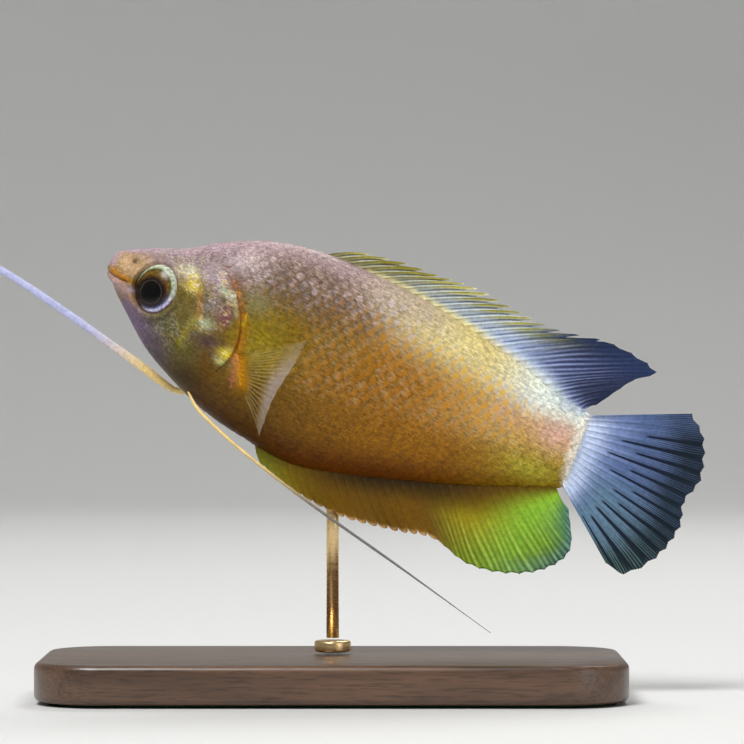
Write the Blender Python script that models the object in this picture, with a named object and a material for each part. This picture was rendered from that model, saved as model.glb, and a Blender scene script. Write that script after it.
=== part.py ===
"""Dwarf gourami held in mid-swim on a display stand: a life-size model in separate solids.

The fish is shaped in its own frame, in millimetres: a runs back from the tip of the snout, b out to the
left flank and c up to the back. place() bends it a little, tips its nose up and turns it into metres.
The nose points along -X and the left flank along -Y. The stand's base stands on Z = 0, centred on the origin.
"""

import math

import bmesh
import bpy
from mathutils import Vector

MM = 0.001
GAP = 0.3

# The fish in its own frame: distance behind the snout, back, belly and half width of the body.
STANDARD_LENGTH = 60.4
BODY_SHAPE = (
    (-0.20, 1.20, 0.20, 0.30),
    (0.20, 2.25, -0.75, 1.00),
    (0.90, 2.85, -1.50, 1.45),
    (2.40, 3.50, -3.05, 2.10),
    (4.50, 4.50, -4.90, 2.85),
    (7.70, 5.60, -7.50, 3.65),
    (11.40, 7.70, -9.55, 4.40),
    (16.50, 9.90, -11.75, 4.95),
    (22.00, 11.00, -13.10, 5.05),
    (28.80, 10.95, -14.05, 4.75),
    (35.00, 10.45, -12.95, 4.10),
    (41.80, 9.25, -11.15, 3.20),
    (50.20, 7.20, -8.60, 2.15),
    (55.70, 5.55, -6.60, 1.60),
    (60.60, 4.60, -4.90, 0.95),
)
MOUTH_LEVEL = -0.3
MOUTH_SLOPE = -0.11
FLANK_LEVEL = -1.0
LEAST_BELLY = 0.15
BACK_FULLNESS = 2.0
BELLY_FULLNESS = 1.8

# Pose: nose up, head turned towards the right flank and the tail swung the same way.
NOSE_UP = math.radians(21.2)
NECK = 20.0
HEAD_TURN = math.radians(18.0)
TAIL_START = 40.0
TAIL_TURN = math.radians(9.0)
TAIL_TIP = 76.0

# Gill opening: the curve that parts the head from the trunk.
GILL_BACK = 17.9
GILL_LEVEL = -3.0
GILL_CURVE_ABOVE = 0.067
GILL_CURVE_BELOW = 0.080
GILL_COVER_RISE = 0.40
GILL_COVER_FRONT = 12.6
GILL_COVER_CURVE = 0.035
TAIL_CUT = 50.0

# Head features.
MOUTH_LENGTH = 4.0
MOUTH_DEPTH = 0.55
MOUTH_WIDTH = 0.20
LIP_RISE = 0.22
LIP_OFFSET = 0.55
LIP_WIDTH = 0.38
NOSTRIL = (3.15, 2.0)
NOSTRIL_RADIUS = 0.42
NOSTRIL_DEPTH = 0.5
EYE_CENTRE = (7.05, 2.35, -0.3)
EYE_RADIUS = 2.9
EYE_HEIGHT = 1.08
EYE_BULGE = 1.45
EYE_FORWARD = math.radians(20.0)
ORBIT_RISE = 0.28
ORBIT_WIDTH = 0.75

# Median fins: the first and last root on the body, the count of spines and soft rays, and the margin,
# given as ray number, distance behind the snout and height.
DORSAL_ROOTS = (23.6, 59.4)
DORSAL_RAYS = 26
DORSAL_SPINES = 17
DORSAL_MARGIN = (
    (0, 28.2, 12.8),
    (2, 32.8, 13.4),
    (4, 37.0, 13.5),
    (7, 41.9, 13.7),
    (9, 45.0, 13.35),
    (14, 52.8, 12.6),
    (17, 60.0, 13.45),
    (20, 66.1, 12.25),
    (22, 63.7, 10.2),
    (25, 60.6, 5.8),
)
ANAL_ROOTS = (24.0, 59.6)
ANAL_RAYS = 33
ANAL_SPINES = 18
ANAL_MARGIN = (
    (0, 25.6, -15.3),
    (4, 31.0, -17.0),
    (8, 36.8, -17.7),
    (13, 43.5, -17.0),
    (17, 48.2, -16.2),
    (20, 53.0, -17.6),
    (23, 57.8, -17.0),
    (26, 61.9, -14.9),
    (29, 63.7, -11.6),
    (32, 61.7, -7.0),
)
CAUDAL_RAYS = 16
CAUDAL_ROOT_TOP = 4.3
CAUDAL_ROOT_BOTTOM = -4.6
CAUDAL_MARGIN = (
    (0, 71.9, 9.1),
    (2, 74.3, 6.8),
    (5, 76.0, 2.0),
    (7, 75.0, -1.2),
    (9, 75.5, -4.2),
    (12, 74.3, -8.8),
    (14, 71.2, -12.0),
    (15, 68.6, -11.5),
)

# The fins' soft lobes lean a little to either side of the midline.
FIN_WAVE = 0.45
FIN_WAVE_RAYS = 7.0

# Paired fins.
PECTORAL_ROOTS = ((18.6, -3.9), (20.6, -8.0))
PECTORAL_RAYS = 10
PECTORAL_REACH = 6.6
PECTORAL_MARGIN = (
    (0, 25.6, 0.5),
    (3, 25.3, -2.5),
    (6, 24.4, -7.0),
    (9, 24.4, -12.0),
)
PELVIC_ROOT = 14.5
PELVIC_ROOT_TURN = math.radians(72.0)
PELVIC_ROOT_WIDTH = 0.6
PELVIC_THICKNESS = 0.50
PELVIC_TIP = 0.24
PELVIC_TAPER = 0.12
TRAILING_WIDTH = 0.55
TRAILING_FILAMENT = (
    (16.5, 1.9, -11.95),
    (20.5, 2.3, -13.7),
    (24.3, 2.5, -15.0),
    (29.9, 2.7, -16.7),
    (35.5, 2.9, -18.2),
    (45.5, 3.3, -20.7),
    (58.2, 3.6, -24.1),
)
FORWARD_WIDTH = 1.10
FORWARD_FILAMENT = (
    (12.3, -2.5, -10.8),
    (10.0, -2.9, -10.4),
    (6.6, -3.2, -9.5),
    (2.3, -3.5, -8.55),
    (-3.6, -3.8, -7.15),
    (-11.9, -4.3, -5.4),
    (-19.0, -4.8, -4.5),
    (-26.5, -5.4, -4.3),
)

# Fin sections: full thickness of the membrane, and of a ray at its root and at its tip.
MEMBRANE = 0.50
RAY_ROOT = 0.95
RAY_TIP = 0.72
SPINE_NOTCH = 1.1
SOFT_NOTCH = 0.25

# Stand.
BASE_LENGTH = 70.0
BASE_WIDTH = 36.0
BASE_HEIGHT = 5.0
BASE_CORNER = 8.0
BASE_BEVEL = 0.8
TIP_CLEARANCE = 3.0
COLLAR_RADIUS = 2.2
COLLAR_HEIGHT = 1.4
ROD_RADIUS = 0.75
ROD_STATION = 34.0
ROD_OFFSET = -1.95
ROD_TOP_GAP = 0.45

# Density of the meshes.
HEAD_POINTS = 60
HEAD_RINGS = 36
BODY_POINTS = 40
TRUNK_RINGS = 24
TAIL_RINGS = 8
FIN_ROWS = 6
FILAMENT_SIDES = 6
FILAMENT_RINGS = 34

COLOURS = {
    "head": (0.56, 0.42, 0.26, 0.35, 0.1),
    "trunk": (0.66, 0.34, 0.06, 0.35, 0.1),
    "tail": (0.68, 0.38, 0.18, 0.35, 0.1),
    "eye": (0.02, 0.02, 0.02, 0.08, 0.0),
    "clear_fin": (0.36, 0.42, 0.58, 0.4, 0.0),
    "gold_fin": (0.45, 0.42, 0.06, 0.4, 0.0),
    "filament": (0.75, 0.62, 0.38, 0.4, 0.0),
    "wood": (0.05, 0.03, 0.02, 0.4, 0.0),
    "brass": (0.65, 0.48, 0.22, 0.25, 1.0),
}


def clear_scene():
    for old in list(bpy.data.objects):
        bpy.data.objects.remove(old, do_unlink=True)


def material(name):
    """The Principled material of this name, made on first use."""
    found = bpy.data.materials.get(name)
    if found:
        return found
    red, green, blue, roughness, metallic = COLOURS[name]
    made = bpy.data.materials.new(name)
    made.use_nodes = True
    shader = made.node_tree.nodes["Principled BSDF"]
    shader.inputs["Base Color"].default_value = (red, green, blue, 1.0)
    shader.inputs["Roughness"].default_value = roughness
    shader.inputs["Metallic"].default_value = metallic
    return made


def add_object(name, mesh, collection, finish):
    """Links a mesh as a named part with its material, smooth but for its sharp edges."""
    made = bpy.data.objects.new(name, mesh)
    collection.objects.link(made)
    mesh.materials.append(material(finish))
    mesh.shade_smooth()
    mesh.set_sharp_from_angle(angle=math.radians(40))
    return made


def smooth(table, x, column):
    """A smooth curve through a column of a table whose first column is x."""
    last = len(table) - 1
    i = 0
    while i < last - 1 and x > table[i + 1][0]:
        i += 1

    def slope(k):
        low, high = max(k - 1, 0), min(k + 1, last)
        return (table[high][column] - table[low][column]) / (table[high][0] - table[low][0])

    width = table[i + 1][0] - table[i][0]
    t = min(max((x - table[i][0]) / width, 0.0), 1.0)
    start, end = table[i][column], table[i + 1][column]
    return (
        start * (1 + 2 * t) * (1 - t) ** 2
        + slope(i) * width * t * (1 - t) ** 2
        + end * t * t * (3 - 2 * t)
        - slope(i + 1) * width * t * t * (1 - t)
    )


def ease(low, high, x):
    """0 below low, 1 above high and a smooth step between."""
    t = min(max((x - low) / (high - low), 0.0), 1.0)
    return t * t * (3 - 2 * t)


def hump(distance, width):
    """1 at distance 0, falling away smoothly over the width."""
    return math.exp(-((distance / width) ** 2))


def rotate_to_world(a, b, c):
    """A point of the unbent fish, tipped nose up, in millimetres, with the snout at the origin."""
    return Vector(
        (
            a * math.cos(NOSE_UP) + c * math.sin(NOSE_UP),
            -b,
            -a * math.sin(NOSE_UP) + c * math.cos(NOSE_UP),
        )
    )


def snout_place():
    """Where the tip of the snout stands, so that the rod is at X = 0 and the trailing filament clears the base."""
    rod = rotate_to_world(ROD_STATION, 0, smooth(BODY_SHAPE, ROD_STATION, 2))
    lowest = rotate_to_world(*TRAILING_FILAMENT[-1])
    return Vector((-rod.x, 0, BASE_HEIGHT + TIP_CLEARANCE - lowest.z))


def midline(a):
    """How far the midline is bent towards the right flank, and the angle it has turned there."""
    ahead = NECK - max(min(a, NECK), 0.0)
    behind = max(a - TAIL_START, 0.0)
    head_rate = HEAD_TURN / NECK
    tail_rate = TAIL_TURN / (TAIL_TIP - TAIL_START)
    beyond = max(-a, 0.0) * HEAD_TURN
    offset = head_rate * ahead * ahead / 2 + tail_rate * behind * behind / 2 + beyond
    return offset, tail_rate * behind - head_rate * ahead


def place(a, b, c):
    """A point of the fish in world metres."""
    offset, turn = midline(a)
    bent_a = a + b * math.sin(turn)
    bent_b = b * math.cos(turn) - offset
    return (rotate_to_world(bent_a, bent_b, c) + snout_place()) * MM


def widest_level(a):
    """The height of the body's widest line: the mouth line, then the middle of the flank."""
    mouth = MOUTH_LEVEL + MOUTH_SLOPE * min(max(a, 0.0), MOUTH_LENGTH)
    return mouth + (FLANK_LEVEL - mouth) * ease(MOUTH_LENGTH, 18.0, a)


def section_point(a, turn, rise=0.0):
    """A point of the body's skin: turn is 0 on the left flank and a quarter turn on the back."""
    back, belly, half = (smooth(BODY_SHAPE, a, column) for column in (1, 2, 3))
    level = max(widest_level(a), belly + LEAST_BELLY * (back - belly))
    across, up = math.cos(turn), math.sin(turn)
    power = 2.0 / (BACK_FULLNESS if up > 0 else BELLY_FULLNESS)
    reach = back - level if up > 0 else level - belly
    b = (half + rise) * math.copysign(abs(across) ** power, across)
    c = level + (reach + rise) * math.copysign(abs(up) ** power, up)
    return a, b, c


def head_relief(a, turn):
    """How far the head's features stand out of the plain section, in millimetres."""
    _, b, c = section_point(a, turn)
    above_mouth = c - widest_level(a)
    in_mouth = ease(MOUTH_LENGTH, MOUTH_LENGTH - 1.2, a)
    mouth = hump(above_mouth, MOUTH_WIDTH) * in_mouth
    lips = hump(abs(above_mouth) - LIP_OFFSET, LIP_WIDTH) * ease(MOUTH_LENGTH + 0.5, 0.5, a)
    nostril = hump(math.hypot(a - NOSTRIL[0], c - NOSTRIL[1]), NOSTRIL_RADIUS)
    from_eye = math.hypot(a - EYE_CENTRE[0], c - EYE_CENTRE[2])
    orbit = hump(from_eye - EYE_RADIUS - 0.4, ORBIT_WIDTH)
    flap_front = GILL_COVER_FRONT - GILL_COVER_CURVE * (c - GILL_LEVEL) ** 2
    flap = ease(flap_front - 0.7, flap_front + 0.7, a) * ease(8.5, 5.5, abs(c - GILL_LEVEL))
    return (
        LIP_RISE * lips
        - MOUTH_DEPTH * mouth
        - NOSTRIL_DEPTH * nostril * (abs(b) > 0.3)
        + ORBIT_RISE * orbit
        + GILL_COVER_RISE * flap
    )


def gill_line(turn):
    """Distance behind the snout at which the gill opening crosses the section at this turn."""
    a = GILL_BACK - 2.0
    for _ in range(40):
        c = section_point(a, turn)[2] - GILL_LEVEL
        bend = GILL_CURVE_ABOVE if c > 0 else GILL_CURVE_BELOW
        a += 0.5 * (GILL_BACK - bend * c * c - a)
    return a


def head_ring(share, turns):
    """One ring of the head, from the snout at share 0 to the gill opening at share 1."""
    front = BODY_SHAPE[0][0]
    ring = []
    for turn in turns:
        a = front + (gill_line(turn) - GAP / 2 - front) * share**1.4
        ring.append(section_point(a, turn, head_relief(a, turn)))
    return ring


def trunk_ring(share, turns):
    """One ring of the trunk, from the gill opening at share 0 to the tail's cut at share 1."""
    rear = TAIL_CUT - GAP / 2
    ring = []
    for turn in turns:
        front = gill_line(turn) + GAP / 2
        ring.append(section_point(front + (rear - front) * share, turn))
    return ring


def tail_ring(share, turns):
    front = TAIL_CUT + GAP / 2
    return [section_point(front + (STANDARD_LENGTH - front) * share, turn) for turn in turns]


def loft(name, rings, collection, finish, cap_steps=()):
    """A closed skin through rings of the fish's own frame, its ends closed in steps towards their middles."""
    first, last = middle_of(rings[0]), middle_of(rings[-1])
    caps_before = [[m + (q - m) * share for q in rings[0]] for share in cap_steps for m in (first,)]
    caps_after = [[m + (q - m) * share for q in rings[-1]] for share in cap_steps for m in (last,)]
    rings = caps_before[::-1] + rings + caps_after
    shape = bmesh.new()
    rows = [[shape.verts.new(place(*p)) for p in ring] for ring in rings]
    count = len(rows[0])
    for one, two in zip(rows, rows[1:]):
        for k in range(count):
            n = (k + 1) % count
            shape.faces.new((one[k], one[n], two[n], two[k]))
    for row, middle in ((rows[0], first), (rows[-1], last)):
        centre = shape.verts.new(place(*middle))
        for k in range(count):
            shape.faces.new((row[k], row[(k + 1) % count], centre))
    bmesh.ops.recalc_face_normals(shape, faces=shape.faces)
    mesh = bpy.data.meshes.new(name)
    shape.to_mesh(mesh)
    shape.free()
    return add_object(name, mesh, collection, finish)


def middle_of(ring):
    """A point inside the ring, halfway between its lowest and highest."""
    low = min(p.z for p in ring)
    high = max(p.z for p in ring)
    return Vector((sum(p.x for p in ring) / len(ring), sum(p.y for p in ring) / len(ring), (low + high) / 2))


def section_turns(count):
    """Turns round a section, set closer along the widest line, where the mouth and the eyes are."""
    even = [2 * math.pi * k / count for k in range(count)]
    return [turn - 0.22 * math.sin(2 * turn) for turn in even]


def body_loft(name, ring_at, count, points, collection, finish):
    turns = section_turns(points)
    rings = [[Vector(p) for p in ring_at(k / count, turns)] for k in range(count + 1)]
    return loft(name, rings, collection, finish, cap_steps=(0.5,))


def make_body(collection):
    head = body_loft("head", head_ring, HEAD_RINGS, HEAD_POINTS, collection, "head")
    trunk = body_loft("trunk", trunk_ring, TRUNK_RINGS, BODY_POINTS, collection, "trunk")
    body_loft("tail", tail_ring, TAIL_RINGS, BODY_POINTS, collection, "tail")
    return head, trunk


def eyeball(name, side, grow, collection, finish):
    """A flattened ball set in the side of the head and turned a little forwards."""
    bpy.ops.mesh.primitive_uv_sphere_add(segments=24, ring_count=14, radius=1.0)
    ball = bpy.context.object
    ball.name = name
    centre_a, centre_b, centre_c = EYE_CENTRE
    for vertex in ball.data.vertices:
        x, y, z = vertex.co
        along, up = x * (EYE_RADIUS + grow), y * (EYE_RADIUS * EYE_HEIGHT + grow)
        out = z * (EYE_BULGE + grow)
        a = centre_a + along * math.cos(EYE_FORWARD) - out * math.sin(EYE_FORWARD)
        b = centre_b + along * math.sin(EYE_FORWARD) + out * math.cos(EYE_FORWARD)
        vertex.co = place(a, side * b, centre_c + up)
    for holder in list(ball.users_collection):
        holder.objects.unlink(ball)
    collection.objects.link(ball)
    ball.data.materials.clear()
    ball.data.materials.append(material(finish))
    ball.data.shade_smooth()
    face_out(ball.data)
    return ball


def face_out(mesh):
    shape = bmesh.new()
    shape.from_mesh(mesh)
    bmesh.ops.recalc_face_normals(shape, faces=shape.faces)
    shape.to_mesh(mesh)
    shape.free()


def make_eyes(head, collection, cutters):
    """Two eyes, each in a socket cut from the head a gap wider than the ball."""
    for name, side in (("eye_left", 1), ("eye_right", -1)):
        eyeball(name, side, 0.0, collection, "eye")
        socket = eyeball(f"socket_{name}", side, GAP, cutters, "eye")
        socket.hide_render = True
        socket.display_type = "WIRE"
        cut = head.modifiers.new(f"cut_{name}", "BOOLEAN")
        cut.operation = "DIFFERENCE"
        cut.object = socket


def fin_mesh(name, columns, halves, across, collection, finish):
    """A closed vane: columns of points from root to margin, thickened to both sides by halves[column][row]."""
    shape = bmesh.new()
    sides = []
    for sign in (1, -1):
        rows = []
        for points, thick, outward in zip(columns, halves, across):
            rows.append([
                shape.verts.new(place(*(q + sign * t * o for q, o in zip(p, outward))))
                for p, t in zip(points, thick)
            ])
        sides.append(rows)
    last, top = len(columns) - 1, len(columns[0]) - 1
    for i in range(last):
        for k in range(top):
            for rows in sides:
                corners = (rows[i][k], rows[i + 1][k], rows[i + 1][k + 1], rows[i][k + 1])
                shape.faces.new((corners[0], corners[1], corners[2]))
                shape.faces.new((corners[0], corners[2], corners[3]))
    left, right = sides
    rim = [(i, 0) for i in range(last)] + [(last, k) for k in range(top)]
    rim += [(i, top) for i in range(last, 0, -1)] + [(0, k) for k in range(top, 0, -1)]
    for (i, k), (j, m) in zip(rim, rim[1:] + rim[:1]):
        shape.faces.new((left[i][k], left[j][m], right[j][m], right[i][k]))
    bmesh.ops.recalc_face_normals(shape, faces=shape.faces)
    mesh = bpy.data.meshes.new(name)
    shape.to_mesh(mesh)
    shape.free()
    return add_object(name, mesh, collection, finish)


def no_lean(ray):
    return 0.0, 0.0, 0.0


def ray_columns(count, spines, root_of, tip_of, bow, lean_of=no_lean):
    """Columns of points for a fin: one for each ray and one for the membrane between each pair."""
    columns, halves = [], []
    for i in range(2 * count - 1):
        ray = i / 2
        root, tip = Vector(root_of(ray)), Vector(tip_of(ray))
        lean = Vector(lean_of(ray))
        on_ray = i % 2 == 0
        if not on_ray:
            notch = SPINE_NOTCH if ray < spines else SOFT_NOTCH
            tip = tip + (root - tip).normalized() * notch
        points, thick = [], []
        for k in range(FIN_ROWS + 1):
            v = k / FIN_ROWS
            points.append(tuple(root + (tip - root) * v + Vector(bow) * 4 * v * (1 - v) + lean * v * v))
            full = RAY_ROOT + (RAY_TIP - RAY_ROOT) * v if on_ray else MEMBRANE
            thick.append(full / 2)
        columns.append(points)
        halves.append(thick)
    return columns, halves


def make_median_fins(collection):
    """The dorsal and anal fins, whose roots follow the back and the belly at the gap, and the caudal fin."""
    sideways = (0.0, 1.0, 0.0)

    def dorsal_root(ray):
        a = DORSAL_ROOTS[0] + (DORSAL_ROOTS[1] - DORSAL_ROOTS[0]) * ray / (DORSAL_RAYS - 1)
        return a, 0.0, smooth(BODY_SHAPE, a, 1) + GAP

    def anal_root(ray):
        a = ANAL_ROOTS[0] + (ANAL_ROOTS[1] - ANAL_ROOTS[0]) * ray / (ANAL_RAYS - 1)
        return a, 0.0, smooth(BODY_SHAPE, a, 2) - GAP

    def caudal_root(ray):
        share = ray / (CAUDAL_RAYS - 1)
        return STANDARD_LENGTH + GAP, 0.0, CAUDAL_ROOT_TOP + (CAUDAL_ROOT_BOTTOM - CAUDAL_ROOT_TOP) * share

    def margin_of(table):
        return lambda ray: (smooth(table, ray, 1), 0.0, smooth(table, ray, 2))

    def lean(ray):
        return 0.0, FIN_WAVE * math.sin(2 * math.pi * ray / FIN_WAVE_RAYS), 0.0

    fins = (
        ("dorsal_fin", DORSAL_RAYS, DORSAL_SPINES, dorsal_root, DORSAL_MARGIN, 0.25, "clear_fin"),
        ("anal_fin", ANAL_RAYS, ANAL_SPINES, anal_root, ANAL_MARGIN, -0.25, "gold_fin"),
        ("caudal_fin", CAUDAL_RAYS, 0, caudal_root, CAUDAL_MARGIN, 0.0, "clear_fin"),
    )
    for name, count, spines, root, margin, bow, finish in fins:
        columns, halves = ray_columns(count, spines, root, margin_of(margin), (0.0, 0.0, bow), lean)
        fin_mesh(name, columns, halves, [sideways] * len(columns), collection, finish)


def flank_point(a, c, rise):
    """A point of the left flank at this station and height, raised off the skin."""
    low, high = -math.pi / 2, math.pi / 2
    for _ in range(40):
        middle = (low + high) / 2
        if section_point(a, middle)[2] < c:
            low = middle
        else:
            high = middle
    return section_point(a, (low + high) / 2)[1] + rise


def make_pectorals(collection):
    """Two fans that spring from the flanks behind the gill covers and stand out from the body."""
    (top_a, top_c), (low_a, low_c) = PECTORAL_ROOTS
    for name, side in (("pectoral_fin_left", 1), ("pectoral_fin_right", -1)):

        def root(ray, side=side):
            share = ray / (PECTORAL_RAYS - 1)
            a, c = top_a + (low_a - top_a) * share, top_c + (low_c - top_c) * share
            return a, side * flank_point(a, c, GAP + MEMBRANE / 2), c

        def tip(ray, side=side):
            a, c = smooth(PECTORAL_MARGIN, ray, 1), smooth(PECTORAL_MARGIN, ray, 2)
            foot = root(ray)
            return a, foot[1] + side * PECTORAL_REACH, c

        columns, halves = ray_columns(PECTORAL_RAYS, 0, root, tip, (0.25, side * 0.5, 0.0))
        across = [vane_normal(columns, i) for i in range(len(columns))]
        fin_mesh(name, columns, halves, across, collection, "clear_fin")


def vane_normal(columns, i):
    """The direction across the vane at a column, from its neighbours and its own rise."""
    before, after = columns[max(i - 1, 0)], columns[min(i + 1, len(columns) - 1)]
    along = Vector(after[FIN_ROWS // 2]) - Vector(before[FIN_ROWS // 2])
    rise = Vector(columns[i][-1]) - Vector(columns[i][0])
    return tuple(along.cross(rise).normalized())


def curve_point(points, share):
    """A smooth curve through points of the fish's own frame, in equal steps of share."""
    table = [(k / (len(points) - 1), *p) for k, p in enumerate(points)]
    return Vector(smooth(table, share, column) for column in (1, 2, 3))


def make_filament(name, side, width, grown, route, collection):
    """A pelvic fin: one long ray rooted on the belly beside the keel, at its full width from the share grown."""
    turn = -PELVIC_ROOT_TURN if side > 0 else PELVIC_ROOT_TURN - math.pi
    foot = Vector(section_point(PELVIC_ROOT, turn, GAP))
    outward = foot - Vector(section_point(PELVIC_ROOT, turn))
    points = [foot, *(Vector(p) for p in route)]
    rings = []
    for k in range(FILAMENT_RINGS + 1):
        share = k / FILAMENT_RINGS
        centre = curve_point(points, share)
        ahead = curve_point(points, min(share + 0.01, 1.0)) - curve_point(points, max(share - 0.01, 0.0))
        tall = ahead.cross(Vector((0, 1, 0))).normalized()
        broad = ahead.cross(tall).normalized()
        if k == 0:
            against_belly = ahead.rotation_difference(outward)
            tall.rotate(against_belly)
            broad.rotate(against_belly)
        slim = 1 + (PELVIC_TIP / PELVIC_THICKNESS - 1) * ease(1 - PELVIC_TAPER, 1.0, share)
        spread = PELVIC_ROOT_WIDTH + (1 - PELVIC_ROOT_WIDTH) * ease(0.0, grown, share) - 0.3 * share**1.5
        half_width = width / 2 * slim * spread
        half_thick = PELVIC_THICKNESS / 2 * slim
        ring = []
        for side_number in range(FILAMENT_SIDES):
            angle = 2 * math.pi * side_number / FILAMENT_SIDES
            ring.append(centre + tall * half_width * math.cos(angle) + broad * half_thick * math.sin(angle))
        rings.append(ring)
    loft(name, rings, collection, "filament")


def make_stand(trunk, collection):
    """A rounded base, a turned collar and a slim rod whose top is cut to the belly beside the anal fin."""
    outline = bpy.data.curves.new("stand_base", "CURVE")
    outline.dimensions = "2D"
    outline.fill_mode = "BOTH"
    outline.extrude = (BASE_HEIGHT / 2 - BASE_BEVEL) * MM
    outline.bevel_depth = BASE_BEVEL * MM
    outline.bevel_resolution = 1
    edge = outline.splines.new("POLY")
    steps = 7
    corners = []
    for quarter, (x, y) in enumerate(((1, 1), (-1, 1), (-1, -1), (1, -1))):
        for k in range(steps + 1):
            turn = math.pi / 2 * (quarter + k / steps)
            radius = BASE_CORNER - BASE_BEVEL
            corners.append((
                x * (BASE_LENGTH / 2 - BASE_CORNER) + radius * math.cos(turn),
                y * (BASE_WIDTH / 2 - BASE_CORNER) + radius * math.sin(turn),
            ))
    edge.points.add(len(corners) - 1)
    for point, (x, y) in zip(edge.points, corners):
        point.co = (x * MM, y * MM, 0.0, 1.0)
    edge.use_cyclic_u = True
    base = bpy.data.objects.new("stand_base", outline)
    base.location = (0.0, 0.0, BASE_HEIGHT / 2 * MM)
    outline.materials.append(material("wood"))
    collection.objects.link(base)

    rod_y = -ROD_OFFSET
    collar_top = BASE_HEIGHT + GAP + COLLAR_HEIGHT
    cylinder("stand_collar", COLLAR_RADIUS, BASE_HEIGHT + GAP, collar_top, rod_y, collection)
    rod = cylinder("stand_rod", ROD_RADIUS, collar_top + GAP, BASE_HEIGHT + 20.0, rod_y, collection)
    middle = (collar_top + BASE_HEIGHT + 20.0) / 2 * MM
    for vertex in rod.data.vertices:
        if vertex.co.z > middle:
            start = Vector((vertex.co.x, vertex.co.y, middle))
            hit, point, _, _ = trunk.ray_cast(start, Vector((0, 0, 1)))
            if hit:
                vertex.co.z = point.z - ROD_TOP_GAP * MM


def cylinder(name, radius, low, high, y, collection):
    """An upright round piece of the stand on X = 0, with its place in its mesh."""
    bpy.ops.mesh.primitive_cylinder_add(
        vertices=24,
        radius=radius * MM,
        depth=(high - low) * MM,
        location=(0.0, y * MM, (low + high) / 2 * MM),
    )
    made = bpy.context.object
    made.name = name
    made.data.transform(made.matrix_world)
    made.matrix_world.identity()
    made.location = (0.0, 0.0, 0.0)
    for holder in list(made.users_collection):
        holder.objects.unlink(made)
    collection.objects.link(made)
    made.data.materials.append(material("brass"))
    made.data.shade_smooth()
    made.data.set_sharp_from_angle(angle=math.radians(40))
    return made


def main():
    clear_scene()
    fish = bpy.data.collections.new("dwarf_gourami")
    cutters = bpy.data.collections.new("cutters")
    bpy.context.scene.collection.children.link(fish)
    bpy.context.scene.collection.children.link(cutters)
    head, trunk = make_body(fish)
    make_eyes(head, fish, cutters)
    make_median_fins(fish)
    make_pectorals(fish)
    make_filament("pelvic_fin_left", 1, TRAILING_WIDTH, 0.12, TRAILING_FILAMENT, fish)
    make_filament("pelvic_fin_right", -1, FORWARD_WIDTH, 0.35, FORWARD_FILAMENT, fish)
    make_stand(trunk, fish)


main()
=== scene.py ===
"""Gourami on a display stand: the finished looks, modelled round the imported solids.

The fish is shaped in its own frame, in millimetres: a runs back from the tip of the snout, b out to the
left flank and c up to the back. place() bends it, tips its nose up and gives world metres. A turn goes
round a cross-section: 0 on the left flank, a quarter turn on the back. A ray number counts a fin's rays
from its front, and v runs from 0 at a fin's root to 1 at its margin.
"""

import math

import bmesh
import bpy
import numpy as np
from bpy.props import FloatProperty, FloatVectorProperty, IntProperty, PointerProperty
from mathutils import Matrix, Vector


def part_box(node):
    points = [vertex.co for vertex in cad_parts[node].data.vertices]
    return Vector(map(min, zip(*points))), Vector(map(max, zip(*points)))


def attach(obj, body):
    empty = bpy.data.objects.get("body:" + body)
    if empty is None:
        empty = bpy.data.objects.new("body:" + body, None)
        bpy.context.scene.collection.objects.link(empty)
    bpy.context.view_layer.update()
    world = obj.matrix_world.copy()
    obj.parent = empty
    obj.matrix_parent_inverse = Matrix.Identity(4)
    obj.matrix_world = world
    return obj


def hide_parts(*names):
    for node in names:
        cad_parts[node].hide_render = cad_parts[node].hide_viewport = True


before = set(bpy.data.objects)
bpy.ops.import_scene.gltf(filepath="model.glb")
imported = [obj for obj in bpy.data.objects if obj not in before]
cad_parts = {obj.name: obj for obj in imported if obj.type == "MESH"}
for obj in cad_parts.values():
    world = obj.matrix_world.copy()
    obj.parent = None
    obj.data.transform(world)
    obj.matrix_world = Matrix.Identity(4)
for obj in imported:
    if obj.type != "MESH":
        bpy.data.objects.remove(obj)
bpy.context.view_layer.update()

bl_info = {
    "name": "Display Gourami",
    "version": (1, 0, 0),
    "blender": (4, 5, 0),
    "location": "View3D > Sidebar > Gourami",
    "description": "Models a scaled and finned gourami on its display stand",
    "category": "Add Mesh",
}

MM = 0.001

# The fish in its own frame: distance behind the snout, back, belly and half width of the body.
STANDARD_LENGTH = 60.4
BODY_SHAPE = np.array((
    (-0.20, 1.20, 0.20, 0.30),
    (0.20, 2.25, -0.75, 1.00),
    (0.90, 2.85, -1.50, 1.45),
    (2.40, 3.50, -3.05, 2.10),
    (4.50, 4.50, -4.90, 2.85),
    (7.70, 5.60, -7.50, 3.65),
    (11.40, 7.70, -9.55, 4.40),
    (16.50, 9.90, -11.75, 4.95),
    (22.00, 11.00, -13.10, 5.05),
    (28.80, 10.95, -14.05, 4.75),
    (35.00, 10.45, -12.95, 4.10),
    (41.80, 9.25, -11.15, 3.20),
    (50.20, 7.20, -8.60, 2.15),
    (55.70, 5.55, -6.60, 1.60),
    (60.60, 4.60, -4.90, 0.95),
))
MOUTH_LEVEL = -0.3
MOUTH_SLOPE = -0.11
FLANK_LEVEL = -1.0
LEAST_BELLY = 0.15
SOLVER_STEPS = 40
BACK_FULLNESS = 2.0
BELLY_FULLNESS = 1.8

# Pose, as in the solids.
NOSE_UP = math.radians(21.2)
NECK = 20.0
HEAD_TURN = math.radians(18.0)
TAIL_START = 40.0
TAIL_TURN = math.radians(9.0)
TAIL_TIP = 76.0
ROD_STATION = 34.0
TIP_CLEARANCE = 3.0
BASE_HEIGHT = 5.0

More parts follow.
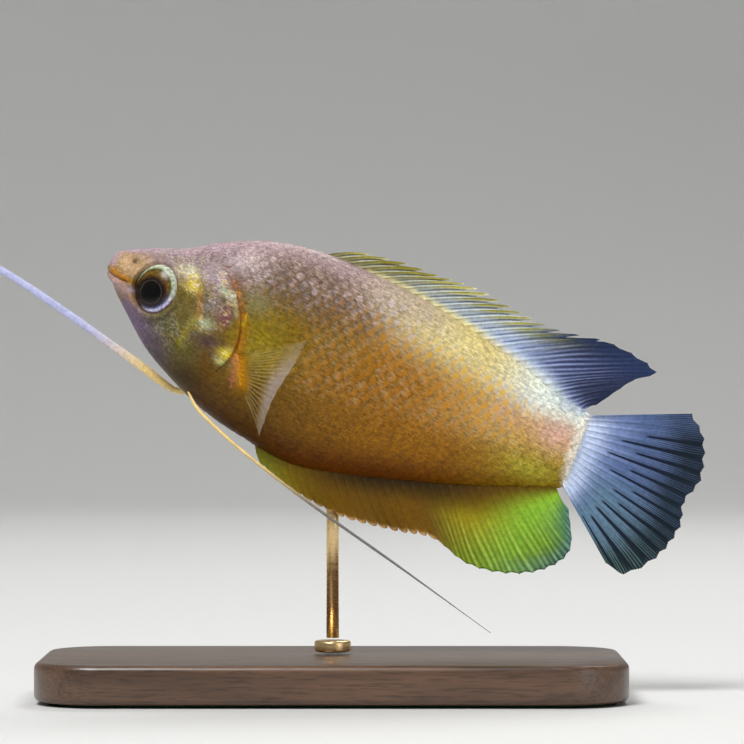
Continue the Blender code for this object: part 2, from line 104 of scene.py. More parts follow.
# Gill opening and gill cover.
GILL_BACK = 17.9
GILL_LEVEL = -3.0
GILL_CURVE_ABOVE = 0.067
GILL_CURVE_BELOW = 0.080
GILL_COVER_RISE = 0.40
GILL_COVER_FRONT = 12.6
GILL_COVER_CURVE = 0.035

# Head features.
MOUTH_LENGTH = 4.0
EYE_CENTRE = (7.05, 2.35, -0.3)
EYE_RADIUS = 2.9
EYE_HEIGHT = 1.08
EYE_BULGE = 1.45
EYE_FORWARD = math.radians(20.0)
NOSTRIL = (3.15, 2.0)

# Median fins: roots along the body, the count of rays and of spines, and the margin, given as ray number,
# distance behind the snout and height.
DORSAL_ROOTS = (23.6, 59.4)
DORSAL_RAYS = 26
DORSAL_SPINES = 17
DORSAL_MARGIN = np.array((
    (0, 28.2, 12.8),
    (2, 32.8, 13.4),
    (4, 37.0, 13.5),
    (7, 41.9, 13.7),
    (9, 45.0, 13.35),
    (14, 52.8, 12.6),
    (17, 60.0, 13.45),
    (20, 66.1, 12.25),
    (22, 63.7, 10.2),
    (25, 60.6, 5.8),
))
ANAL_ROOTS = (24.0, 59.6)
ANAL_RAYS = 33
ANAL_SPINES = 18
ANAL_MARGIN = np.array((
    (0, 25.6, -15.3),
    (4, 31.0, -17.0),
    (8, 36.8, -17.7),
    (13, 43.5, -17.0),
    (17, 48.2, -16.2),
    (20, 53.0, -17.6),
    (23, 57.8, -17.0),
    (26, 62.1, -14.9),
    (29, 64.0, -11.6),
    (32, 62.1, -7.0),
))
CAUDAL_RAYS = 16
CAUDAL_ROOT_TOP = 4.3
CAUDAL_ROOT_BOTTOM = -4.6
CAUDAL_MARGIN = np.array((
    (0, 71.9, 9.1),
    (2, 74.3, 6.8),
    (5, 76.0, 2.0),
    (7, 75.0, -1.2),
    (9, 75.5, -4.2),
    (12, 74.3, -8.8),
    (14, 71.2, -12.0),
    (15, 68.6, -11.5),
))
FIN_WAVE = 0.45
FIN_WAVE_RAYS = 7.0

# Paired fins.
PECTORAL_ROOTS = ((18.6, -3.9), (20.6, -8.0))
PECTORAL_RAYS = 10
PECTORAL_REACH = 6.6
PECTORAL_MARGIN = np.array((
    (0, 25.6, 0.5),
    (3, 25.3, -2.5),
    (6, 24.4, -7.0),
    (9, 24.4, -12.0),
))
PELVIC_ROOT = 14.5
PELVIC_ROOT_TURN = math.radians(72.0)
TRAILING_FILAMENT = (
    (16.5, 1.9, -11.95),
    (20.5, 2.3, -13.7),
    (24.3, 2.5, -15.0),
    (29.9, 2.7, -16.7),
    (35.5, 2.9, -18.2),
    (45.5, 3.3, -20.7),
    (58.2, 3.6, -24.1),
)
FORWARD_FILAMENT = (
    (12.3, -2.5, -10.8),
    (10.0, -2.9, -10.4),
    (6.6, -3.2, -9.5),
    (2.3, -3.5, -8.55),
    (-3.6, -3.8, -7.15),
    (-11.9, -4.3, -5.4),
    (-19.0, -4.8, -4.5),
    (-26.5, -5.4, -4.3),
)

# Body skin: its counts of rings, and the gill cover's free edge as distances behind the gill opening, plain
# and undercut, each with the height that is left there. The head's marks end at a distance of their own.
HEAD_RINGS = 150
TRUNK_RINGS = 170
GILL_EDGE = ((0.04, 0.10, 0.34), (0.09, 0.12, 0.20), (0.14, 0.02, 0.06), (0.20, 0.10, -0.10))
HEAD_MARKS_END = 17.8

# Patches of painted glints: their strength, distance behind the snout, height, and reach along and across.
GLINT_PATCHES = (
    (1.0, 9.7, 2.9, 1.7, 0.8),
    (0.9, 10.5, 1.8, 1.2, 0.9),
    (0.6, 12.8, 3.2, 1.9, 1.1),
    (0.5, 13.9, 4.4, 1.2, 0.5),
    (1.0, 14.9, 2.3, 1.2, 0.6),
    (0.7, 14.2, 0.6, 1.7, 1.4),
    (0.45, 15.5, -0.4, 0.9, 1.4),
    (1.0, 13.4, -2.1, 1.2, 0.8),
    (0.9, 16.9, -5.0, 1.0, 0.9),
    (0.20, 10.0, -4.0, 3.0, 2.5),
)

# Finishes: the turn past which an edge stays sharp, the tilt of the skin's grain, and the stretch of the
# wood's grain and of the brush lines.
CRISP_ANGLE = math.radians(50)
GRAIN_TILT = NOSE_UP + 0.17
WOOD_STRETCH = (9.0, 120.0, 120.0)
BRUSH_STRETCH = (300.0, 300.0, 6000.0)

# Scales: steps of the map from places to turns, where scales begin and end along the body and how far they
# stay off the belly and the back, how far one reaches ahead, behind and aside, and its slope and patch.
STATION_STEP = 0.25
WAY_STEP = 0.1
FIRST_SCALE, LAST_SCALE = 5.2, STANDARD_LENGTH - 0.9
SCALE_ROW_COUNT = 18
BELLY_MARGIN, BACK_MARGIN, GILL_MARGIN = 0.35, 0.15, 0.75
SCALE_FRONT, SCALE_REAR, SCALE_WIDTH = -1.10, 1.16, 1.17
SCALE_SHARES = np.array((0.0, 0.30, 0.50, 0.66, 0.80, 0.91, 0.97, 1.0))
SCALE_ROWS, SCALE_COLUMNS = len(SCALE_SHARES), 5
SCALE_SLOPE = 0.045
PATCH = 0.003

# Eye: its mesh, and the pupil's centre and size as shares of the eye's radius.
EYE_SEGMENTS, EYE_RINGS = 72, 56
PUPIL_CENTRE = (0.03, -0.20)
PUPIL_SIZE = 1.05

# Fins: how deep their roots sit, how far they bow, how deep their margins are notched behind spines and
# between soft rays, where their rays fork, and the fineness of their meshes.
FIN_DEPTH = 0.25
FIN_BOW = 0.25
CAUDAL_DEPTH = 0.9
DORSAL_NOTCHES, ANAL_NOTCHES = (0.19, 0.03), (0.10, 0.025)
DORSAL_FORK, ANAL_FORK, CAUDAL_FORK, PECTORAL_FORK = 0.45, 0.40, 0.30, 0.45
DORSAL_POINTS, ANAL_POINTS, CAUDAL_POINTS, PECTORAL_POINTS = 24, 18, 42, 24
MEDIAN_ROWS, CAUDAL_ROWS, PECTORAL_ROWS = 34, 54, 36
THREAD_RINGS, THREAD_SIDES, THREAD_JOINTS = 260, 14, 46

# Stand, in millimetres: corners and softened edges, and the felt's thickness, inset and overlap.
BASE_CORNER, BASE_EDGE = 8.0, 0.8
FELT, FELT_INSET, FELT_OVERLAP = 0.35, 1.4, 0.05
FELT_CORNER, FELT_EDGE = 6.6, 0.08
COLLAR_SIDES, COLLAR_EDGE = 96, 0.35

# Studio, in metres: the floor and backdrop, the lens in millimetres, and each light's place, power and size.
FLOOR_SIZE = 2.4
WALL_HEIGHT = 1.6
COVE_RADIUS = 0.5
LENS = 200.0
LIGHTS = {
    "key_light": ((-0.22, -0.36, 0.66), 5.6, 0.34),
    "fill_light": ((0.50, -0.50, 0.22), 1.0, 0.5),
    "rim_light": ((0.20, 0.42, 0.60), 2.2, 0.4),
}
SKY_TINT, SKY_STRENGTH = (0.95, 0.97, 1.0, 1.0), 0.33

# Picture: the point of the fish's frame at its centre, and the width that it spans there.
PICTURE_CENTRE = (34.05, 0.0, -0.20)
PICTURE_WIDTH = 89.3


# Sizes and colours


def millimetres(name, description, default):
    return FloatProperty(name=name, description=description, default=default)


def colour(name, description, default):
    return FloatVectorProperty(
        name=name, description=description, default=default, subtype="COLOR", size=3, min=0.0, max=1.0
    )


class GOURAMI_PG_sizes(bpy.types.PropertyGroup):
    skin_inset: millimetres("Skin inset", "How far the skin lies inside the scales, in millimetres", 0.10)
    scale_pitch: millimetres("Scale pitch", "Step from scale to scale along a row, in millimetres", 1.50)
    row_pitch: millimetres("Row pitch", "Step from row to row of scales, in millimetres", 1.06)
    scale_lift: millimetres("Scale lift", "How far a scale's free edge stands off, in millimetres", 0.015)
    scale_thickness: millimetres("Scale thickness", "Thickness of a scale, in millimetres", 0.02)
    membrane: millimetres("Membrane", "Thickness of a fin's membrane, in millimetres", 0.16)
    ray_height: millimetres("Ray height", "How far a ray stands out of the membrane, in millimetres", 0.13)
    thread_width: millimetres("Thread width", "Width of the forward pelvic thread, in millimetres", 1.10)
    body_points: IntProperty(name="Body points", description="Points round a cross-section", default=208)
    seed: IntProperty(name="Seed", description="Seed of the small differences between scales", default=7)


class GOURAMI_PG_colours(bpy.types.PropertyGroup):
    # The back's lilac is partly the fish's own colour and partly painted sheen from the light above, along
    # its top.
    back_lilac_and_sheen: colour("Back", "Lilac-grey of the front of the back", (0.39, 0.285, 0.31))
    back_brown: colour("Shoulder ridge", "Grey-brown of the back above the shoulder", (0.150, 0.098, 0.074))
    back_yellow: colour("Upper flank", "Pale yellow below the dorsal fin", (0.62, 0.52, 0.22))
    back_mint: colour("Rear of the back", "Pale green-white before the tail fin", (0.70, 0.78, 0.72))
    flank_bronze: colour("Shoulder", "Olive bronze behind the gill cover", (0.140, 0.088, 0.003))
    flank_gold: colour("Flank", "Orange gold of the middle of the flank", (0.29, 0.118, 0.002))
    flank_tan: colour("Rear flank", "Warm tan of the rear flank", (0.54, 0.325, 0.085))
    # The lower flank's amber and the belly's rust are partly the fish's own colour and partly painted shade
    # of its underside.
    belly_amber_and_shade: colour("Lower flank", "Deep amber of the lower flank", (0.25, 0.098, 0.0))
    belly_rust_and_shade: colour("Belly", "Dark rust of the belly", (0.125, 0.032, 0.0))
    orange: colour("Orange", "Orange of the marks between the scales", (0.52, 0.205, 0.003))
    fin_pale: colour("Fin pale", "Pale blue of the fins' membranes and rays", (0.40, 0.47, 0.57))
    fin_olive: colour("Fin olive", "Yellow olive of the dorsal spines", (0.50, 0.44, 0.025))
    thread_cream: colour("Thread", "Cream yellow of the pelvic threads near the root", (0.85, 0.62, 0.25))
    thread_lilac: colour("Thread tip", "Lilac blue of the pelvic threads further out", (0.42, 0.44, 0.66))
    wood: colour("Wood", "Dark wood of the base", (0.055, 0.028, 0.015))
    metal: colour("Metal", "Brass of the rod", (0.72, 0.52, 0.26))
    floor: colour("Floor", "Pale floor and backdrop", (0.78, 0.78, 0.77))


# The fish's form


def along(table, x, column):
    """A smooth curve through a column of a table whose first column is x."""
    knots, values = table[:, 0], table[:, column]
    slopes = np.empty(len(values))
    slopes[1:-1] = (values[2:] - values[:-2]) / (knots[2:] - knots[:-2])
    slopes[0] = (values[1] - values[0]) / (knots[1] - knots[0])
    slopes[-1] = (values[-1] - values[-2]) / (knots[-1] - knots[-2])
    i = np.clip(np.searchsorted(knots, x, side="right") - 1, 0, len(knots) - 2)
    width = knots[i + 1] - knots[i]
    t = np.clip((x - knots[i]) / width, 0.0, 1.0)
    return (
        values[i] * (1 + 2 * t) * (1 - t) ** 2
        + slopes[i] * width * t * (1 - t) ** 2
        + values[i + 1] * t * t * (3 - 2 * t)
        - slopes[i + 1] * width * t * t * (1 - t)
    )


def ease(low, high, x):
    """0 below low, 1 above high and a smooth step between."""
    t = np.clip((x - low) / (high - low), 0.0, 1.0)
    return t * t * (3 - 2 * t)


def hump(distance, width):
    """1 at distance 0, falling away smoothly over the width."""
    return np.exp(-((distance / width) ** 2))


def tip_up(points):
    """Points of the unbent fish in world millimetres, nose up, with the snout at the origin."""
    a, b, c = np.moveaxis(np.asarray(points, float), -1, 0)
    rise, run = math.sin(NOSE_UP), math.cos(NOSE_UP)
    return np.stack((a * run + c * rise, -b, -a * rise + c * run), -1)


def snout_place():
    """Where the tip of the snout stands: the rod is at X = 0 and the trailing thread clears the base."""
    rod = tip_up((ROD_STATION, 0.0, along(BODY_SHAPE, ROD_STATION, 2)))
    lowest = tip_up(TRAILING_FILAMENT[-1])
    return np.array((-rod[0], 0.0, BASE_HEIGHT + TIP_CLEARANCE - lowest[2]))


def place(points):
    """Points of the fish's frame in world metres, bent and tipped."""
    a, b, c = np.moveaxis(np.asarray(points, float), -1, 0)
    ahead = NECK - np.clip(a, 0.0, NECK)
    behind = np.maximum(a - TAIL_START, 0.0)
    head_rate = HEAD_TURN / NECK
    tail_rate = TAIL_TURN / (TAIL_TIP - TAIL_START)
    offset = head_rate * ahead**2 / 2 + tail_rate * behind**2 / 2 + np.maximum(-a, 0.0) * HEAD_TURN
    turn = tail_rate * behind - head_rate * ahead
    bent = np.stack((a + b * np.sin(turn), b * np.cos(turn) - offset, c), -1)
    return (tip_up(bent) + snout_place()) * MM


def widest_level(a):
    """The height of the body's widest line: the mouth line, then the middle of the flank."""
    mouth = MOUTH_LEVEL + MOUTH_SLOPE * np.clip(a, 0.0, MOUTH_LENGTH)
    return mouth + (FLANK_LEVEL - mouth) * ease(MOUTH_LENGTH, 18.0, a)


def section_point(a, turn, rise=0.0):
    """Points of the plain body, raised off it by rise."""
    back, belly, half = (along(BODY_SHAPE, a, column) for column in (1, 2, 3))
    level = np.maximum(widest_level(a), belly + LEAST_BELLY * (back - belly))
    across, up = np.cos(turn), np.sin(turn)
    power = 2.0 / np.where(up > 0, BACK_FULLNESS, BELLY_FULLNESS)
    reach = np.where(up > 0, back - level, level - belly)
    b = (half + rise) * np.sign(across) * np.abs(across) ** power
    c = level + (reach + rise) * np.sign(up) * np.abs(up) ** power
    return np.stack(np.broadcast_arrays(a, b, c), -1)


def gill_line(turn):
    """Distance behind the snout at which the gill opening crosses the section at this turn."""
    a = np.full(np.shape(turn), GILL_BACK - 2.0)
    for _ in range(SOLVER_STEPS):
        c = section_point(a, turn)[..., 2] - GILL_LEVEL
        bend = np.where(c > 0, GILL_CURVE_ABOVE, GILL_CURVE_BELOW)
        a = a + 0.5 * (GILL_BACK - bend * c * c - a)
    return a


def eye_distance(a, c):
    """Distance from the middle of the eye, as seen along the eye's own axis."""
    return np.hypot((a - EYE_CENTRE[0] + 0.25) / math.cos(EYE_FORWARD), (c - EYE_CENTRE[2]) / EYE_HEIGHT)


def gill_flap(a, c):
    """1 on the gill cover, 0 ahead of it and above and below its reach."""
    lift = c - GILL_LEVEL
    front = GILL_COVER_FRONT - GILL_COVER_CURVE * lift**2
    return ease(front - 0.5, front + 0.5, a) * ease(8.5, 5.5, lift) * (1 - 0.93 * ease(-1.8, -4.4, lift))


def mouth_dip(a):
    """How far the mouth's line sinks below the widest level between the snout and its corner."""
    return 0.22 * np.sin(np.pi * np.clip(a / MOUTH_LENGTH, 0.0, 1.0))


def head_relief(points):
    """How far the head's features stand out of the plain section."""
    a, b, c = points[..., 0], points[..., 1], points[..., 2]
    above = c - widest_level(a) + mouth_dip(a)
    in_mouth = ease(MOUTH_LENGTH + 0.1, MOUTH_LENGTH - 0.5, a)
    cleft = hump(above, 0.13) * in_mouth
    upper_lip = hump(above - 0.42, 0.30) * ease(MOUTH_LENGTH + 0.4, 0.4, a)
    lower_lip = hump(above + 0.48, 0.34) * ease(MOUTH_LENGTH + 0.2, 0.6, a)
    lip_fold = hump(above + 1.15, 0.18) * ease(3.2, 1.6, a)
    upper_fold = hump(above - 1.05, 0.20) * ease(3.4, 1.8, a)
    corner = hump(np.hypot(a - MOUTH_LENGTH - 0.15, above + 0.5), 0.35)
    nostril = np.hypot(a - NOSTRIL[0], c - NOSTRIL[1])
    rear_nostril = np.hypot(a - NOSTRIL[0] - 1.0, c - NOSTRIL[1] - 0.75)
    eye = eye_distance(a, c)
    orbit = hump(eye - EYE_RADIUS - 0.35, 0.42)
    trough = hump(eye - EYE_RADIUS - 1.1, 0.5)
    socket = ease(EYE_RADIUS + 0.10, EYE_RADIUS - 0.45, eye)
    cheek_bone = hump(a - 11.6 + 0.03 * (c + 2.5) ** 2, 0.5) * ease(-8.5, -6.0, c) * ease(4.0, 2.0, c)
    jaw_line = hump(c + 0.62 * a + 1.5, 0.45) * ease(2.0, 4.0, a) * ease(12.0, 9.0, a)
    flap = gill_flap(a, c)
    rays = 0.05 * np.sin(2.4 * (c + 0.35 * a)) * flap * ease(-3.0, -6.0, c)
    return (
        0.24 * upper_lip
        + 0.24 * lower_lip
        - 0.24 * cleft
        - 0.07 * (lip_fold + upper_fold)
        - 0.16 * corner
        + (0.16 * hump(nostril - 0.34, 0.16) - 0.45 * hump(nostril, 0.22)) * (np.abs(b) > 0.3)
        - 0.22 * hump(rear_nostril, 0.17)
        + 0.30 * orbit
        - 0.12 * trough
        - 1.9 * socket
        + 0.12 * cheek_bone
        - 0.10 * jaw_line
        + GILL_COVER_RISE * flap
        + rays
    )


def skin_point(a, turn, rise=0.0):
    """Points of the living surface, with the head's relief, raised by rise."""
    plain = section_point(a, turn)
    ahead_of_gill = a < gill_line(turn) + 0.02
    return section_point(a, turn, rise + head_relief(plain) * ahead_of_gill)


def seen(points):
    """The points as the bent fish shows them from the side, where the marks are laid out."""
    turned = HEAD_TURN / NECK * (NECK - np.clip(points[..., 0], 0.0, NECK))
    shown = np.array(points, float)
    shown[..., 0] -= np.abs(points[..., 1]) * np.sin(turned)
    return shown


def height_share(points):
    """0 on the belly's edge and 1 on the back's."""
    a, c = points[..., 0], points[..., 2]
    back, belly = along(BODY_SHAPE, a, 1), along(BODY_SHAPE, a, 2)
    return np.clip((c - belly) / (back - belly), 0.0, 1.0)


# Markings


def mixed(base, over, share):
    """Base and over blended by share, with colours on the last axis."""
    share = np.clip(share, 0.0, 1.0)[..., None]
    return np.asarray(base, float) * (1 - share) + np.asarray(over, float) * share


def layered(tone, *layers):
    """A tone with others laid over it in turn, each given with its share."""
    for over, share in layers:
        tone = mixed(tone, over, share)
    return tone


def spot(points, a, c, reach_a, reach_c):
    """A soft oval mark about a point of the side view."""
    return np.exp(-(((points[..., 0] - a) / reach_a) ** 2) - ((points[..., 2] - c) / reach_c) ** 2)


def streak(points, start, end, width):
    """A soft line mark between two points of the side view."""
    start, end = np.array(start), np.array(end)
    side_view = points[..., (0, 2)] - start
    line = end - start
    share = np.clip((side_view @ line) / (line @ line), 0.0, 1.0)
    return np.exp(-((np.linalg.norm(side_view - share[..., None] * line, axis=-1) / width) ** 2))


def marked(tone, points, *marks):
    """A tone with marks laid over it in turn: each one's colour, its strength and where it lies.

    It lies in an oval, given by its centre and reaches, or on a line, given by its ends and width, or
    wherever a share for every point says."""
    for over, strength, where in marks:
        if isinstance(where, tuple):
            where = streak(points, *where) if len(where) == 3 else spot(points, *where)
        tone = mixed(tone, over, strength * where)
    return tone


def head_markings(tone, points, h):
    """The head's own marks, laid over the body's colours, with painted sheen along its top and a painted
    highlight under the eye.
    """
    a, c = points[..., 0], points[..., 2]
    in_head = ease(15.5, 12.5, a)
    throat = ease(0.36, 0.14, h) * ease(2.0, 3.6, a) * ease(10.5, 7.5, a)
    rear_throat = ease(0.34, 0.12, h) * ease(5.5, 8.5, a) * ease(12.5, 9.5, a)
    ground = layered(
        tone,
        ((0.120, 0.088, 0.018), in_head * ease(0.74, 0.5, h)),
        ((0.205, 0.140, 0.145), in_head * ease(0.62, 0.84, h)),
        # The lilac along the top of the head is painted sheen from the light above.
        ((0.34, 0.245, 0.28), in_head * ease(0.86, 0.96, h)),
    )
    patterned = marked(
        ground,
        points,
        ((0.50, 0.33, 0.18), 1.0, (1.9, 1.4, 2.2, 1.7)),  # peach snout
        ((0.48, 0.31, 0.18), 0.9, (3.9, 1.6, 1.6, 1.4)),  # peach before the eye
        ((0.22, 0.13, 0.035), 0.75, (2.9, 2.1, 0.8, 0.5)),  # olive snout patch
        ((0.40, 0.29, 0.37), 0.9, ease(0.86, 0.97, h) * ease(6.0, 1.5, a)),  # lilac brow, partly painted sheen from the light above
        ((0.42, 0.29, 0.35), 0.8, ease(0.9, 0.2, a) * ease(0.2, 0.8, c)),  # lilac snout tip
        ((0.42, 0.27, 0.25), 1.0, ((0.4, -1.1), (3.0, -1.7), 0.80)),  # lips
        ((0.36, 0.14, 0.002), 1.0, ((0.6, -0.10), (2.2, -0.42), 0.42)),  # mouth line
        ((0.34, 0.15, 0.004), 0.9, ((2.2, -0.42), (4.0, -0.55), 0.36)),  # mouth corner
        ((0.44, 0.23, 0.07), 0.8, (3.7, -2.7, 1.0, 0.75)),  # peach chin
        ((0.62, 0.52, 0.72), 0.8, (3.9, -1.35, 0.40, 0.30)),  # painted highlight under the eye, lilac-white
        ((0.150, 0.100, 0.170), 0.95, throat),  # lilac throat
        ((0.080, 0.052, 0.074), 0.9, rear_throat),  # dim throat
        ((0.080, 0.082, 0.040), 0.9, (8.9, -3.8, 1.7, 1.3)),  # grey-green cheek
        ((0.092, 0.078, 0.003), 0.9, (11.4, -5.0, 1.9, 2.2)),  # olive cheek
        ((0.24, 0.19, 0.004), 0.8, ((11.9, -2.0), (11.4, -5.2), 0.42)),  # olive streak
        ((0.34, 0.15, 0.02), 0.75, ((11.6, 1.0), (12.5, -1.6), 0.38)),  # rust streak
        ((0.44, 0.42, 0.20), 0.9, (9.6, 3.0, 1.6, 0.8)),  # gold behind the eye
        ((0.56, 0.40, 0.01), 0.95, (10.5, 1.8, 1.0, 0.9)),  # yellow behind the eye
        ((0.235, 0.155, 0.185), 0.85, (12.8, 3.2, 1.7, 1.1)),  # lilac temple
        ((0.44, 0.50, 0.30), 0.85, ((14.0, 2.5), (15.7, 1.9), 0.40)),  # mint arc
        ((0.34, 0.36, 0.20), 0.75, ((15.7, 1.9), (16.6, 0.2), 0.30)),  # mint edge
        ((0.17, 0.135, 0.125), 0.85, (13.7, 0.6, 1.5, 1.5)),  # grey-lilac gill cover
        ((0.165, 0.042, 0.052), 0.95, (15.5, -0.2, 0.85, 1.5)),  # maroon gill cover
        ((0.070, 0.036, 0.034), 0.95, (14.7, -3.9, 2.1, 1.0)),  # brown gill cover
        ((0.32, 0.36, 0.19), 0.85, (13.5, -2.0, 1.0, 0.65)),  # mint flecks
        ((0.155, 0.082, 0.058), 0.85, (15.5, 4.4, 1.2, 1.3)),  # brown nape patch
        ((0.040, 0.018, 0.0), 0.9, (13.2, -8.8, 2.8, 1.7)),  # dark throat edge
    )
    return np.where((a < HEAD_MARKS_END)[..., None], patterned, ground)


def markings(points, colours):
    """The colour of skin and scales alike, from the place on the body, with painted sheen along the top
    of the back and painted shade towards the belly.
    """
    h = height_share(points)
    points = seen(points)
    a, c = points[..., 0], points[..., 2]
    gill = a - gill_height_line(c)
    back = layered(
        colours.back_lilac_and_sheen,
        (colours.back_brown, ease(12, 21, a)),
        (colours.back_yellow, ease(27, 42, a)),
        (colours.back_mint, ease(46, 55, a)),
    )
    bronze = mixed(colours.flank_bronze, colours.flank_gold, ease(19, 38, a))
    middle = mixed(bronze, colours.flank_tan, ease(38, 52, a))
    # Towards the belly the colours darken: partly the fish's own amber and rust, partly painted shade of its
    # underside.
    amber = mixed((0.128, 0.058, 0.0), colours.belly_amber_and_shade, ease(22, 40, a))
    low = mixed(amber, (0.30, 0.19, 0.006), ease(45, 57, a))
    rust = mixed((0.070, 0.026, 0.0), colours.belly_rust_and_shade, ease(20, 34, a))
    tone = layered(
        low,
        (middle, ease(0.22, 0.58, h)),
        (back, ease(0.62, 0.90, h + 0.04 * ease(30, 40, a)) * (1 - 0.1 * ease(30, 44, a))),
        # The lilac band along the top of the back is painted sheen from the light above.
        (colours.back_lilac_and_sheen, 0.6 * ease(0.88, 0.97, h) * ease(36, 30, a)),
        # Painted shade of the underside, together with the belly's own rust: darkest at the belly's edge.
        (rust, ease(0.20, 0.02, h) * (1 - 0.75 * ease(38, 56, a))),
    )
    tone = marked(
        tone,
        points,
        ((0.098, 0.058, 0.018), 0.60, hump(h - 0.74, 0.085) * ease(17, 20, a) * ease(35, 30, a)),
        ((0.200, 0.082, 0.0), 0.45, hump(h - 0.50, 0.14) * ease(24, 29, a) * ease(44, 36, a)),
        ((0.42, 0.335, 0.25), 0.70, ease(0.84, 0.93, h) * ease(27, 33, a) * ease(44, 37, a)),
        ((0.250, 0.182, 0.0), 0.80, (20.5, -2.4, 3.6, 3.6)),
        ((0.11, 0.078, 0.066), 0.42, (21.6, 6.4, 2.8, 1.6)),
        ((0.13, 0.10, 0.03), 0.38, (29.0, 1.2, 3.2, 2.2)),
        ((0.22, 0.21, 0.10), 0.55, (18.7, 2.5, 1.4, 1.3)),
        ((0.36, 0.44, 0.56), 0.80, ease(0.86, 0.95, h) * ease(54, 58, a)),
        ((0.60, 0.36, 0.22), 0.40, ((50.2, 1.0), (56.5, 0.8), 1.1)),
        ((0.66, 0.39, 0.34), 0.80, (57.6, 0.9, 2.4, 1.9)),
        ((0.42, 0.40, 0.03), 0.60, (56.0, -4.2, 3.2, 1.4)),
        ((0.84, 0.80, 0.72), 0.90, ease(58.8, 60.1, a - 0.035 * (c - 0.3) ** 2)),
    )
    return marked(
        head_markings(tone, points, h),
        points,
        ((0.17, 0.080, 0.040), 0.80, hump(gill - 0.2, 0.9) * ease(1.8, 3.2, c) * ease(6.5, 5.0, c)),
        ((0.40, 0.140, 0.002), 0.95, hump(gill - 0.45, 0.66) * ease(-4.2, -3.2, c) * ease(4.6, 2.6, c)),
        ((0.10, 0.030, 0.010), 0.70, hump(gill - 0.45, 0.40) * hump(c - 1.3, 0.6)),
        ((0.62, 0.50, 0.02), 0.75, ((17.6, 1.2), (18.4, -1.1), 0.15)),
        ((0.72, 0.58, 0.01), 0.95, (17.2, -4.5, 1.0, 0.65)),
        ((0.62, 0.66, 0.22), 0.70, (16.8, -5.6, 0.7, 0.4)),
        ((0.66, 0.13, 0.01), 0.80, (18.4, -4.3, 0.55, 0.45)),
        ((0.62, 0.27, 0.004), 0.90, ((19.2, -4.8), (20.3, -7.2), 0.75)),
        ((0.40, 0.13, 0.07), 0.70, ((18.7, -5.0), (19.0, -7.4), 0.35)),
    )


def gill_height_line(c):
    """Distance behind the snout of the gill cover's edge at a height."""
    lift = c - GILL_LEVEL
    return GILL_BACK - np.where(lift > 0, GILL_CURVE_ABOVE, GILL_CURVE_BELOW) * lift * lift


def strongest(*strengths):
    """The greatest of several strengths at every point."""
    return np.max(strengths, axis=0)


def glints(points):
    """How thickly the painted glints lie: on the shoulder, the cheek, the gill cover and the back."""
    h = height_share(points)
    points = seen(points)
    a = points[..., 0]
    behind_gill = a - gill_height_line(points[..., 2])
    shoulder = ease(0.60, 0.80, h) * ease(0.97, 0.90, h) * ease(0.9, 2.2, behind_gill)
    strength = strongest(
        0.66 * shoulder * (1 - 0.70 * ease(34, 48, a)),
        0.30 * ease(0.78, 0.90, h) * (1 - 0.6 * ease(38, 48, a)),
        0.18 * ease(0.10, 0.35, h) * ease(17, 26, a),
        0.55 * ease(0.26, 0.44, h) * ease(0.92, 0.80, h) * ease(21, 29, a) * ease(60, 50, a),
        *(share * spot(points, *oval_place) for share, *oval_place in GLINT_PATCHES),
    )
    return np.clip(strength * ease(3.5, 6.5, a), 0.0, 1.0)


def curls(points):
    """How clearly the fine curling lines show."""
    h = height_share(points)
    points = seen(points)
    a = points[..., 0]
    return strongest(
        0.80 * ease(0.55, 0.8, h) * ease(5, 9, a) * ease(28, 17, a),
        0.62 * ease(0.70, 0.88, h) * ease(15, 18, a) * ease(44, 32, a),
        0.85 * spot(points, 14.0, 0.4, 2.2, 2.6),
        0.70 * spot(points, 9.5, -4.0, 2.6, 2.0),
        0.55 * ease(0.05, 0.25, h) * ease(16, 20, a) * (1 - 0.6 * ease(0.42, 0.55, h)),
    )


def sheens(points):
    """The painted glints' colour: lilac on the shoulder and back, cream then mint behind, tan below."""
    h = height_share(points)
    a = seen(points)[..., 0]
    return layered(
        (0.60, 0.50, 0.62),
        ((0.86, 0.78, 0.50), ease(34, 44, a)),
        ((0.82, 0.88, 0.80), ease(47, 55, a)),
        ((0.38, 0.245, 0.12), ease(0.90, 0.68, h) * ease(16, 24, a)),
        ((0.42, 0.25, 0.02), ease(0.40, 0.26, h) * ease(16, 20, a)),
        ((0.66, 0.56, 0.24), ease(0.50, 0.36, h) * ease(46, 54, a)),
        ((0.42, 0.33, 0.38), 0.8 * ease(0.60, 0.72, h) * ease(17, 20, a) * ease(29, 23, a)),
        ((0.70, 0.50, 0.44), 0.8 * ease(0.78, 0.90, h) * ease(34, 28, a)),
    )


def rims(points):
    """How clearly the scales' pale rims show, and how deep the painted shade at each scale's front lies:
    least on the shoulder, most on the rear flank.
    """
    h = height_share(points)
    a = seen(points)[..., 0]
    rear = ease(30, 46, a) * ease(0.06, 0.25, h) * (1 - 0.9 * ease(48, 56, a) * ease(0.5, 0.7, h))
    return 0.12 + 0.11 * rear + 0.14 * ease(0.80, 0.9, h) * ease(36, 28, a)


def orange_marks(points):
    """How clearly the orange marks between the scales show: on the middle of the flank."""
    h = height_share(points)
    a = seen(points)[..., 0]
    return strongest(
        ease(0.28, 0.44, h) * ease(0.90, 0.76, h) * ease(20.0, 31.0, a) * ease(56.5, 49.0, a),
        0.30 * ease(0.5, 0.6, h) * ease(0.93, 0.84, h) * ease(17.0, 20.0, a) * ease(40, 32, a),
    )


# Mesh helpers


def deselect_all():
    for chosen in list(bpy.context.selected_objects):
        chosen.select_set(False)


def finish_piece(made, finish, slot, *nodes):
    """Gives a piece its finish, says which body carries it and hides the solids it stands for."""
    made.data.materials.clear()
    made.data.materials.append(finish)
    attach(made, "root")
    if nodes:
        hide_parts(*nodes)


